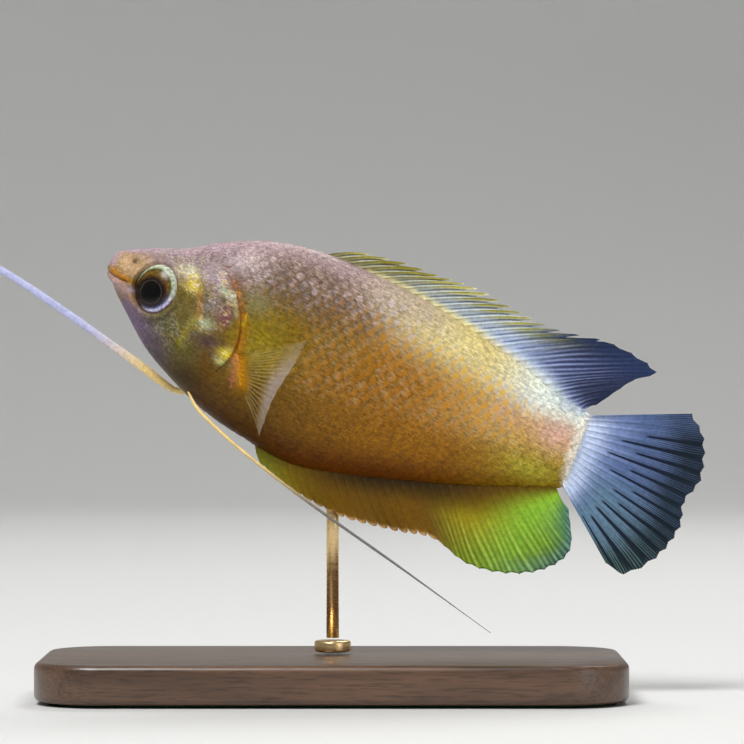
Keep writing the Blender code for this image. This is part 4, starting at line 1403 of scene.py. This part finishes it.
class GOURAMI_OT_dorsal_fin(bpy.types.Operator):
    """Model the dorsal fin: swept spines with free tips, then the soft rays of its pointed lobe"""

    bl_idname = "gourami.dorsal_fin"
    bl_label = "Dorsal Fin"

    def execute(self, context):
        sizes, colours = context.scene.gourami_sizes, context.scene.gourami_colours
        ray, v, r, w = fin_grid(DORSAL_RAYS, DORSAL_POINTS, MEDIAN_ROWS)
        notch = spiny_notch(ray, DORSAL_SPINES, *DORSAL_NOTCHES)
        mid = median_sheet(ray, v, DORSAL_ROOTS, 1, 1, DORSAL_MARGIN, notch)
        ridge = fin_ridge(r, w, DORSAL_SPINES, DORSAL_FORK)
        half = fin_half(ridge, w, sizes)
        body = markings(np.stack((mid[..., 0], 0 * w, mid[..., 2] * 0 + 50.0), -1), colours)
        phase = r - np.floor(r + 1e-6)
        soft = ease(13.5, 18.5, r + 5.0 * (w - 0.55))
        outer = ease(0.30, 0.70, w)
        strands = fibres(2 * r + 0.15 * np.sin(7 * w + 2 * r))
        dark = strongest(
            hump(phase - 0.50, 0.11) * outer, 0.75 * hump(phase - 0.66, 0.13) * ease(0.85, 0.5, w)
        )
        olive = np.maximum(hump(phase - 0.12, 0.22), hump(phase - 1.0, 0.10)) * (0.15 + 0.85 * outer)
        tone = layered(
            colours.fin_pale,
            ((0.26, 0.24, 0.11), ease(12, 3, r)),
            ((0.40, 0.52, 0.86), 0.7 * ease(12, 16, r) * ease(0.75, 0.35, w)),
            ((0.018, 0.024, 0.024), dark * ease(0.02, 0.22, w)),
            ((0.62, 0.68, 0.72), 0.50 * hump(phase - 0.84, 0.09) * ease(0.1, 0.4, w)),
            ((0.045, 0.058, 0.150), soft),
            (colours.fin_olive, olive * (1 - soft)),
            ((0.045, 0.050, 0.006), 0.7 * hump(phase - 0.06, 0.05) * outer * (1 - soft)),
            ((0.36, 0.44, 0.74), (0.15 * ridge + 0.62 * strands**2) * soft * ease(0.80, 0.20, w)),
            ((0.74, 0.74, 0.60), 0.8 * (1 - soft) * ease(0.94, 1.0, w)),
            ((0.16, 0.18, 0.04), 0.6 * hump(w - 0.70, 0.22) * hump(r - 15.5, 1.8)),
            ((0.010, 0.016, 0.055), 0.85 * soft * (1 - strands) * ease(0.10, 0.6, w)),
            ((0.014, 0.032, 0.095), 0.7 * soft * ease(0.55, 0.9, w)),
            ((0.014, 0.020, 0.052), 0.75 * ease(18.5, 22.5, r) * ease(0.10, 0.38, w)),
            ((0.54, 0.65, 0.84), 0.75 * ease(0.24, 0.03, w) * ease(11, 15, r) * ease(24, 20, r)),
            ((0.85, 0.78, 0.34), ease(0.24, 0.0, w) * ease(2, 5, r) * ease(17, 13, r)),
            (body, 0.8 * ease(0.16, 0.0, w)),
        )
        made = build_vane("dorsal_vane", mid, half, SIDEWAYS, tone)
        finish_piece(made, fin_finish("dorsal_finish"), "clear_fin", "dorsal_fin")
        return {"FINISHED"}


class GOURAMI_OT_anal_fin(bpy.types.Operator):
    """Model the anal fin: a long low spiny part, then a rounded soft lobe"""

    bl_idname = "gourami.anal_fin"
    bl_label = "Anal Fin"

    def execute(self, context):
        sizes = context.scene.gourami_sizes
        ray, v, r, w = fin_grid(ANAL_RAYS, ANAL_POINTS, MEDIAN_ROWS)
        notch = scalloped_notch(ray, ANAL_SPINES, *ANAL_NOTCHES)
        mid = median_sheet(ray, v, ANAL_ROOTS, 2, -1, ANAL_MARGIN, notch)
        ridge = fin_ridge(r, w, ANAL_SPINES, ANAL_FORK)
        half = fin_half(ridge, w, sizes)
        strands = fibres(2 * r + 0.2 * np.sin(5 * w + 1.7 * r))
        strands = strands * (0.75 + 0.25 * np.sin(2.3 * np.round(2 * r)))
        lobe = ease(17, 21, r)
        lobed = hump(off_ray(r), 0.75) * ease(0.90, 0.97, w) * ease(18.2, 17.2, r)
        tone = layered(
            (0.145, 0.068, 0.0),
            ((0.22, 0.135, 0.0), ease(9, 3, r)),
            ((0.33, 0.25, 0.0), ease(17.5, 22, r) * ease(0.05, 0.45, w)),
            ((0.25, 0.50, 0.03), ease(20.5, 27, r + 8 * (w - 0.5)) * ease(0.0, 0.35, w)),
            # Painted shadow of the belly: the spiny part darkens towards its root.
            ((0.030, 0.016, 0.0), 0.92 * ease(0.50, 0.0, w) * ease(5, 13, r) * ease(29, 18, r)),
            ((0.52, 0.70, 0.12), (0.10 * ridge + 0.42 * strands) * lobe * ease(0.20, 0.7, w)),
            ((0.04, 0.10, 0.0), 0.60 * (1 - strands) * lobe * ease(0.25, 0.8, w)),
            ((0.04, 0.17, 0.11), 0.72 * ease(26.5, 31, r) * ease(0.25, 0.8, w)),
            ((0.02, 0.085, 0.075), 0.9 * ease(0.70, 1.0, w) * ease(20, 28, r) * (1 - 0.4 * strands)),
            ((0.30, 0.52, 0.50), 0.45 * ease(0.80, 0.93, w) * ease(21, 28, r) * strands),
            ((0.62, 0.36, 0.14), 0.85 * lobed),
            ((0.14, 0.17, 0.01), 0.7 * hump(r - 1.0, 2.2)),
        )
        made = build_vane("anal_vane", mid, half, SIDEWAYS, tone)
        finish_piece(made, fin_finish("anal_finish"), "gold_fin", "anal_fin")
        return {"FINISHED"}


class GOURAMI_OT_caudal_fin(bpy.types.Operator):
    """Model the tail fin: a slightly notched fan of twice-forked rays with dark slits between them"""

    bl_idname = "gourami.caudal_fin"
    bl_label = "Tail Fin"

    def execute(self, context):
        sizes = context.scene.gourami_sizes
        ray, v, r, w = fin_grid(CAUDAL_RAYS, CAUDAL_POINTS, CAUDAL_ROWS)
        height = CAUDAL_ROOT_TOP + (CAUDAL_ROOT_BOTTOM - CAUDAL_ROOT_TOP) * (ray / ray[-1])
        root = np.stack((STANDARD_LENGTH - CAUDAL_DEPTH + 0.035 * (height - 0.2) ** 2, 0 * ray, height), -1)
        notch = 0.022 * off_ray(ray) ** 0.8 + 0.006 * np.abs(np.sin(8 * np.pi * ray))
        mid = fin_sheet(v, root, fin_tip(CAUDAL_MARGIN, ray), (0.0, 0.0, 0.0), fin_lean(ray), notch)
        ridge = fin_ridge(r, w, 0, CAUDAL_FORK)
        half = fin_half(ridge, w, sizes) + 0.35 * (1 - w) ** 5
        strands = fibres(6 * r + 0.3 * np.sin(9 * w + r))
        out = ease(0.22 - 0.006 * r, 0.58 - 0.014 * r, w + 0.04 * np.sin(2.1 * r))
        start = 0.42 + 0.10 * np.sin(2.9 * np.round(r + 0.5)) + 0.06 * np.sin(7.1 * np.round(r + 0.5))
        slit = ease(0.70, 0.86, off_ray(r) + 0.30 * (w - start)) * ease(0.0, 0.04, w - start)
        slit = slit * ease(1.02, 0.9, w - 0.1 * start) * ease(1.4, 2.6, r)
        dusk = 0.96 * ease(0.62, 0.88, w) * (1 - 0.30 * strands**2) * (1 - 0.4 * ease(2.5, 0.8, r))
        tone = layered(
            (0.66, 0.76, 1.0),
            ((0.18, 0.25, 0.50), ease(0.06, 0.32, w)),
            ((0.074, 0.124, 0.285), out),
            ((0.105, 0.200, 0.300), ease(0.10, 0.4, w) * ease(6, 12, r)),
            ((0.085, 0.125, 0.26), 0.75 * ease(1.9, 0.4, r) * ease(0.60, 0.10, w)),
            ((0.34, 0.42, 0.56), (0.08 * ridge + 0.30 * strands**2) * (1 - 0.55 * out)),
            ((0.006, 0.014, 0.040), 0.60 * (1 - strands) * ease(0.35, 0.75, w)),
            ((0.002, 0.006, 0.022), 0.97 * slit),
            ((0.003, 0.010, 0.018), dusk),
            ((0.15, 0.28, 0.18), 0.5 * ease(9, 15, r) * ease(0.45, 0.8, w) * strands**3 * (1 - slit)),
            ((0.80, 0.78, 0.74), ease(0.09, 0.0, w) * 0.9),
        )
        made = build_vane("caudal_vane", mid, half, SIDEWAYS, tone)
        finish_piece(made, fin_finish("caudal_finish"), "clear_fin", "caudal_fin")
        return {"FINISHED"}


def flank_at(a, c, rise):
    """How far out the left flank is at a station and height."""
    low, high = np.full(np.shape(a), -np.pi / 2), np.full(np.shape(a), np.pi / 2)
    for _ in range(SOLVER_STEPS):
        middle = (low + high) / 2
        below = section_point(a, middle)[..., 2] < c
        low, high = np.where(below, middle, low), np.where(below, high, middle)
    return section_point(a, low)[..., 1] + rise


class GOURAMI_OT_pectoral_fins(bpy.types.Operator):
    """Model the clear, fanned pectoral fins behind the gill covers"""

    bl_idname = "gourami.pectoral_fins"
    bl_label = "Pectoral Fins"

    def execute(self, context):
        sizes, colours = context.scene.gourami_sizes, context.scene.gourami_colours
        finish = fin_finish("pectoral_finish", clear=True)
        (top_a, top_c), (low_a, low_c) = PECTORAL_ROOTS
        ray, v, r, w = fin_grid(PECTORAL_RAYS, PECTORAL_POINTS, PECTORAL_ROWS)
        share = ray / ray[-1]
        a, c = top_a + (low_a - top_a) * share, top_c + (low_c - top_c) * share
        ridge = fin_ridge(r, w, 0, PECTORAL_FORK)
        for name, side in (("pectoral_fin_left", 1), ("pectoral_fin_right", -1)):
            foot = flank_at(a, c, -0.12)
            root = np.stack((a, side * foot, c), -1)
            tip = fin_tip(PECTORAL_MARGIN, ray)
            tip[:, 1] = side * (foot + PECTORAL_REACH)
            mid = fin_sheet(v, root, tip, (0.25, side * 0.5, 0.0), 0 * root, 0.02 * off_ray(ray))
            across = np.cross(np.gradient(mid, axis=0), np.gradient(mid, axis=1))
            across /= np.linalg.norm(across, axis=-1, keepdims=True)
            half = 0.45 * fin_half(ridge, w, sizes)
            strands = fibres(2 * r) ** 4
            edge = ease(0.55, 0.93, w + 0.10 * hump(r - 4.5, 3.0)) * (0.35 + 0.65 * hump(r - 5.5, 3.2))
            edge = edge * (0.85 + 0.15 * strands)
            glow, hidden = ease(0.34, 0.04, w), ease(0.16, 0.04, w)
            tone = layered(
                (0.42, 0.34, 0.14),
                ((0.44, 0.38, 0.38), edge),
                ((0.50, 0.26, 0.002), glow),
                ((0.62, 0.52, 0.22), 0.6 * strands * ease(0.06, 0.2, w) * ease(0.7, 0.4, w)),
                (markings(mid * (1, side, 1), colours), hidden),
            )
            lit = strands * ease(0.10, 0.25, w) * ease(0.95, 0.4, w)
            solid = 0.005 + 0.20 * lit + 0.12 * glow + 0.36 * edge + 0.6 * hidden
            solid = np.clip(solid, 0.0, 1.0)
            made = build_vane(f"{name}_vane", mid, half, across, tone, {"solidness": solid})
            finish_piece(made, finish, "clear_fin", name)
        return {"FINISHED"}


# Pelvic threads


def thread_rings(route, side, width, thickness, grown):
    """Rings of a tapering thread from the belly beside the keel, at its full width by the share grown."""
    turn = -PELVIC_ROOT_TURN if side > 0 else PELVIC_ROOT_TURN - math.pi
    foot = section_point(np.array(PELVIC_ROOT), np.array(turn), -0.05)
    control = np.concatenate((foot[None], np.array(route)))
    table = np.concatenate((np.linspace(0, 1, len(control))[:, None], control), 1)
    share = np.linspace(0.0, 1.0, THREAD_RINGS)
    centre = np.stack([along(table, share, column) for column in (1, 2, 3)], -1)
    ahead = np.gradient(centre, axis=0)
    tall = np.cross(ahead, (0.0, 1.0, 0.0))
    tall /= np.linalg.norm(tall, axis=-1, keepdims=True)
    broad = np.cross(ahead, tall)
    broad /= np.linalg.norm(broad, axis=-1, keepdims=True)
    slim = 1 - 0.75 * ease(0.80, 1.0, share)
    spread = 0.6 + 0.4 * ease(0.0, grown, share) - 0.3 * share**1.5
    joints = 1 + 0.03 * np.sin(share * 2 * np.pi * THREAD_JOINTS)
    half_width = (width / 2 * slim * spread * joints)[:, None, None]
    half_thick = (thickness / 2 * slim * joints)[:, None, None]
    angle = (2 * np.pi * np.arange(THREAD_SIDES) / THREAD_SIDES)[None, :, None]
    rings = centre[:, None] + tall[:, None] * half_width * np.cos(angle)
    return rings + broad[:, None] * half_thick * np.sin(angle), share, centre


class GOURAMI_OT_pelvic_threads(bpy.types.Operator):
    """Model the two long pelvic threads, one swung forward and one trailing"""

    bl_idname = "gourami.pelvic_threads"
    bl_label = "Pelvic Threads"

    def execute(self, context):
        sizes, colours = context.scene.gourami_sizes, context.scene.gourami_colours
        finish = fin_finish("thread_finish")
        threads = (
            ("pelvic_fin_left", 1, TRAILING_FILAMENT, 0.42, 0.36, 0.12),
            ("pelvic_fin_right", -1, FORWARD_FILAMENT, sizes.thread_width, 0.42, 0.35),
        )
        for name, side, route, width, thickness, grown in threads:
            rings, share, centre = thread_rings(route, side, width, thickness, grown)
            points, faces = tube(rings, centre[0], centre[-1])
            along_thread = np.concatenate((np.repeat(share, THREAD_SIDES), (0.0, 1.0)))
            turning = ease(0.30, 0.62, along_thread) if side < 0 else ease(0.35, 0.75, along_thread)
            far = colours.thread_lilac if side < 0 else (0.20, 0.19, 0.18)
            tone = mixed(colours.thread_cream, far, turning)
            made = mesh_piece(f"{name}_thread", place(points), faces, {"tone": tone})
            finish_piece(made, finish, "filament", name)
        return {"FINISHED"}


# Stand


def activate(piece):
    """Selects one piece and nothing else."""
    deselect_all()
    piece.select_set(True)
    bpy.context.view_layer.objects.active = piece


def pick_edges(piece, keep):
    """Opens a piece for editing, with the edges that keep() picks selected."""
    activate(piece)
    bpy.ops.object.mode_set(mode="EDIT")
    bpy.ops.mesh.select_mode(type="EDGE")
    shape = bmesh.from_edit_mesh(piece.data)
    for edge in shape.edges:
        edge.select_set(keep(edge))
    bmesh.update_edit_mesh(piece.data)


def bevel_edges(piece, keep, width, segments):
    """Rounds the edges that keep() picks."""
    pick_edges(piece, keep)
    bpy.ops.mesh.bevel(offset=width, segments=segments, profile=0.5)
    bpy.ops.object.mode_set(mode="OBJECT")


def settle(piece):
    """Puts a piece's place into its mesh and shades it smooth but for its sharp edges."""
    activate(piece)
    bpy.ops.object.transform_apply(location=True, rotation=True, scale=True)
    bpy.ops.object.shade_smooth_by_angle(angle=math.radians(35))


def block(name, low, high):
    """A box between two corners."""
    deselect_all()
    size = high - low
    bpy.ops.mesh.primitive_cube_add(size=1.0, location=(low + high) / 2, scale=size)
    made = bpy.context.object
    made.name = name
    bpy.ops.object.transform_apply(location=True, rotation=True, scale=True)
    return made


def upright(edge):
    one, two = (v.co for v in edge.verts)
    return abs(one.z - two.z) > 0.9 * (one - two).length


def level_edge(edge):
    """An edge at the top or the foot of a slab, where a wall meets a flat face."""
    if len(edge.link_faces) != 2:
        return False
    one, two = (abs(face.normal.z) for face in edge.link_faces)
    return (one > 0.9) != (two > 0.9)


def round_slab(name, low, high, corner, edge, segments):
    """A slab with rounded corners and softened edges."""
    made = block(name, low, high)
    bevel_edges(made, upright, corner, 14)
    bevel_edges(made, level_edge, edge, segments)
    settle(made)
    return made


def smoothed_copy(name, node):
    """A finished copy of a solid: its loose triangles merged and its round sides shaded smooth."""
    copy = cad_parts[node].data.copy()
    made = bpy.data.objects.new(name, copy)
    bpy.context.scene.collection.objects.link(made)
    face_outward(copy, merged=1e-6)
    settle(made)
    return made


class GOURAMI_OT_stand(bpy.types.Operator):
    """Model the stand: a dark wooden base on felt, with a brass collar and rod"""

    bl_idname = "gourami.stand"
    bl_label = "Display Stand"

    def execute(self, context):
        colours = context.scene.gourami_colours
        low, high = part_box("stand_base")
        felt = FELT * MM
        inset = Vector((FELT_INSET * MM, FELT_INSET * MM, 0.0))
        foot = low + Vector((0, 0, felt))
        base = round_slab("wooden_base", foot, high, BASE_CORNER * MM, BASE_EDGE * MM, 5)
        finish_piece(base, wood_finish(colours), "stand_wood", "stand_base")
        pad_high = Vector((high.x, high.y, low.z + felt + FELT_OVERLAP * MM))
        corner, edge = FELT_CORNER * MM, FELT_EDGE * MM
        pad = round_slab("base_felt", low + inset, pad_high - inset, corner, edge, 1)
        finish_piece(pad, felt_finish(), "stand_wood")
        brass = metal_finish(colours)
        low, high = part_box("stand_collar")
        middle, size = (low + high) / 2, high - low
        deselect_all()
        bpy.ops.mesh.primitive_cylinder_add(
            vertices=COLLAR_SIDES, radius=size.x / 2, depth=size.z, location=middle
        )
        collar = context.object
        collar.name = "brass_collar"
        bpy.ops.object.transform_apply(location=True, rotation=True, scale=True)
        bevel_edges(collar, level_edge, COLLAR_EDGE * MM, 4)
        settle(collar)
        finish_piece(collar, brass, "stand_metal", "stand_collar")
        rod = smoothed_copy("brass_rod", "stand_rod")
        finish_piece(rod, brass, "stand_metal", "stand_rod")
        return {"FINISHED"}


# Studio


def rear_edge(edge):
    """An edge at the floor's rear."""
    return all(v.co.y > FLOOR_SIZE / 2 - 1e-4 for v in edge.verts)


def cove_edge(edge):
    """The edge where the floor meets the backdrop."""
    return rear_edge(edge) and all(v.co.z < 1e-4 for v in edge.verts)


def add_light(name, place_at, look_at, energy, size):
    """A round soft light turned to a point."""
    data = bpy.data.lights.new(name, "AREA")
    data.energy = energy
    data.shape = "DISK"
    data.size = size
    made = bpy.data.objects.new(name, data)
    made.location = place_at
    made.rotation_euler = (Vector(look_at) - Vector(place_at)).to_track_quat("-Z", "Y").to_euler()
    bpy.context.scene.collection.objects.link(made)


class GOURAMI_OT_studio(bpy.types.Operator):
    """Set the pale floor, the soft lights and the camera at the picture's viewing angle"""

    bl_idname = "gourami.studio"
    bl_label = "Studio"

    def execute(self, context):
        scene, colours = context.scene, context.scene.gourami_colours
        bpy.ops.mesh.primitive_plane_add(size=FLOOR_SIZE, location=(0.0, 0.0, 0.0))
        floor = context.object
        floor.name = "studio_floor"
        pick_edges(floor, rear_edge)
        bpy.ops.mesh.extrude_region_move(TRANSFORM_OT_translate={"value": (0.0, 0.0, WALL_HEIGHT)})
        bpy.ops.object.mode_set(mode="OBJECT")
        bevel_edges(floor, cove_edge, COVE_RADIUS, 24)
        floor.data.shade_smooth()
        floor.data.materials.append(floor_finish(colours))
        centre = Vector(place(PICTURE_CENTRE).tolist())
        data = bpy.data.cameras.new("picture_camera")
        data.lens = LENS
        data.sensor_width = 36.0
        data.clip_start = 0.01
        distance = PICTURE_WIDTH * MM / 2 / math.tan(math.atan(data.sensor_width / 2 / data.lens))
        camera = bpy.data.objects.new("picture_camera", data)
        camera.location = (centre.x, -distance, centre.z)
        camera.rotation_euler = (math.radians(90.0), 0.0, 0.0)
        scene.collection.objects.link(camera)
        scene.camera = camera
        for name, (place_at, energy, size) in LIGHTS.items():
            add_light(name, place_at, centre, energy, size)
        world = bpy.data.worlds.new("studio_world")
        world.use_nodes = True
        sky = world.node_tree.nodes["Background"]
        sky.inputs["Color"].default_value = SKY_TINT
        sky.inputs["Strength"].default_value = SKY_STRENGTH
        scene.world = world
        scene.view_settings.view_transform = "Standard"
        return {"FINISHED"}


class GOURAMI_PT_panel(bpy.types.Panel):
    """The gourami's pieces, sizes and colours"""

    bl_idname = "GOURAMI_PT_panel"
    bl_label = "Display Gourami"
    bl_space_type = "VIEW_3D"
    bl_region_type = "UI"
    bl_category = "Gourami"

    def draw(self, context):
        for piece in PIECES:
            self.layout.operator(piece.bl_idname)
        for group in (context.scene.gourami_sizes, context.scene.gourami_colours):
            box = self.layout.box()
            for key in group.__annotations__:
                box.prop(group, key)


PIECES = (
    GOURAMI_OT_studio,
    GOURAMI_OT_body_skin,
    GOURAMI_OT_scales,
    GOURAMI_OT_eyes,
    GOURAMI_OT_dorsal_fin,
    GOURAMI_OT_anal_fin,
    GOURAMI_OT_caudal_fin,
    GOURAMI_OT_pectoral_fins,
    GOURAMI_OT_pelvic_threads,
    GOURAMI_OT_stand,
)
CLASSES = (GOURAMI_PG_sizes, GOURAMI_PG_colours, *PIECES, GOURAMI_PT_panel)


def register():
    for each in CLASSES:
        bpy.utils.register_class(each)
    bpy.types.Scene.gourami_sizes = PointerProperty(type=GOURAMI_PG_sizes)
    bpy.types.Scene.gourami_colours = PointerProperty(type=GOURAMI_PG_colours)


def unregister():
    del bpy.types.Scene.gourami_colours
    del bpy.types.Scene.gourami_sizes
    for each in reversed(CLASSES):
        bpy.utils.unregister_class(each)


def main():
    register()
    for piece in PIECES:
        group, name = piece.bl_idname.split(".")
        getattr(getattr(bpy.ops, group), name)()


if __name__ == "__main__":
    main()
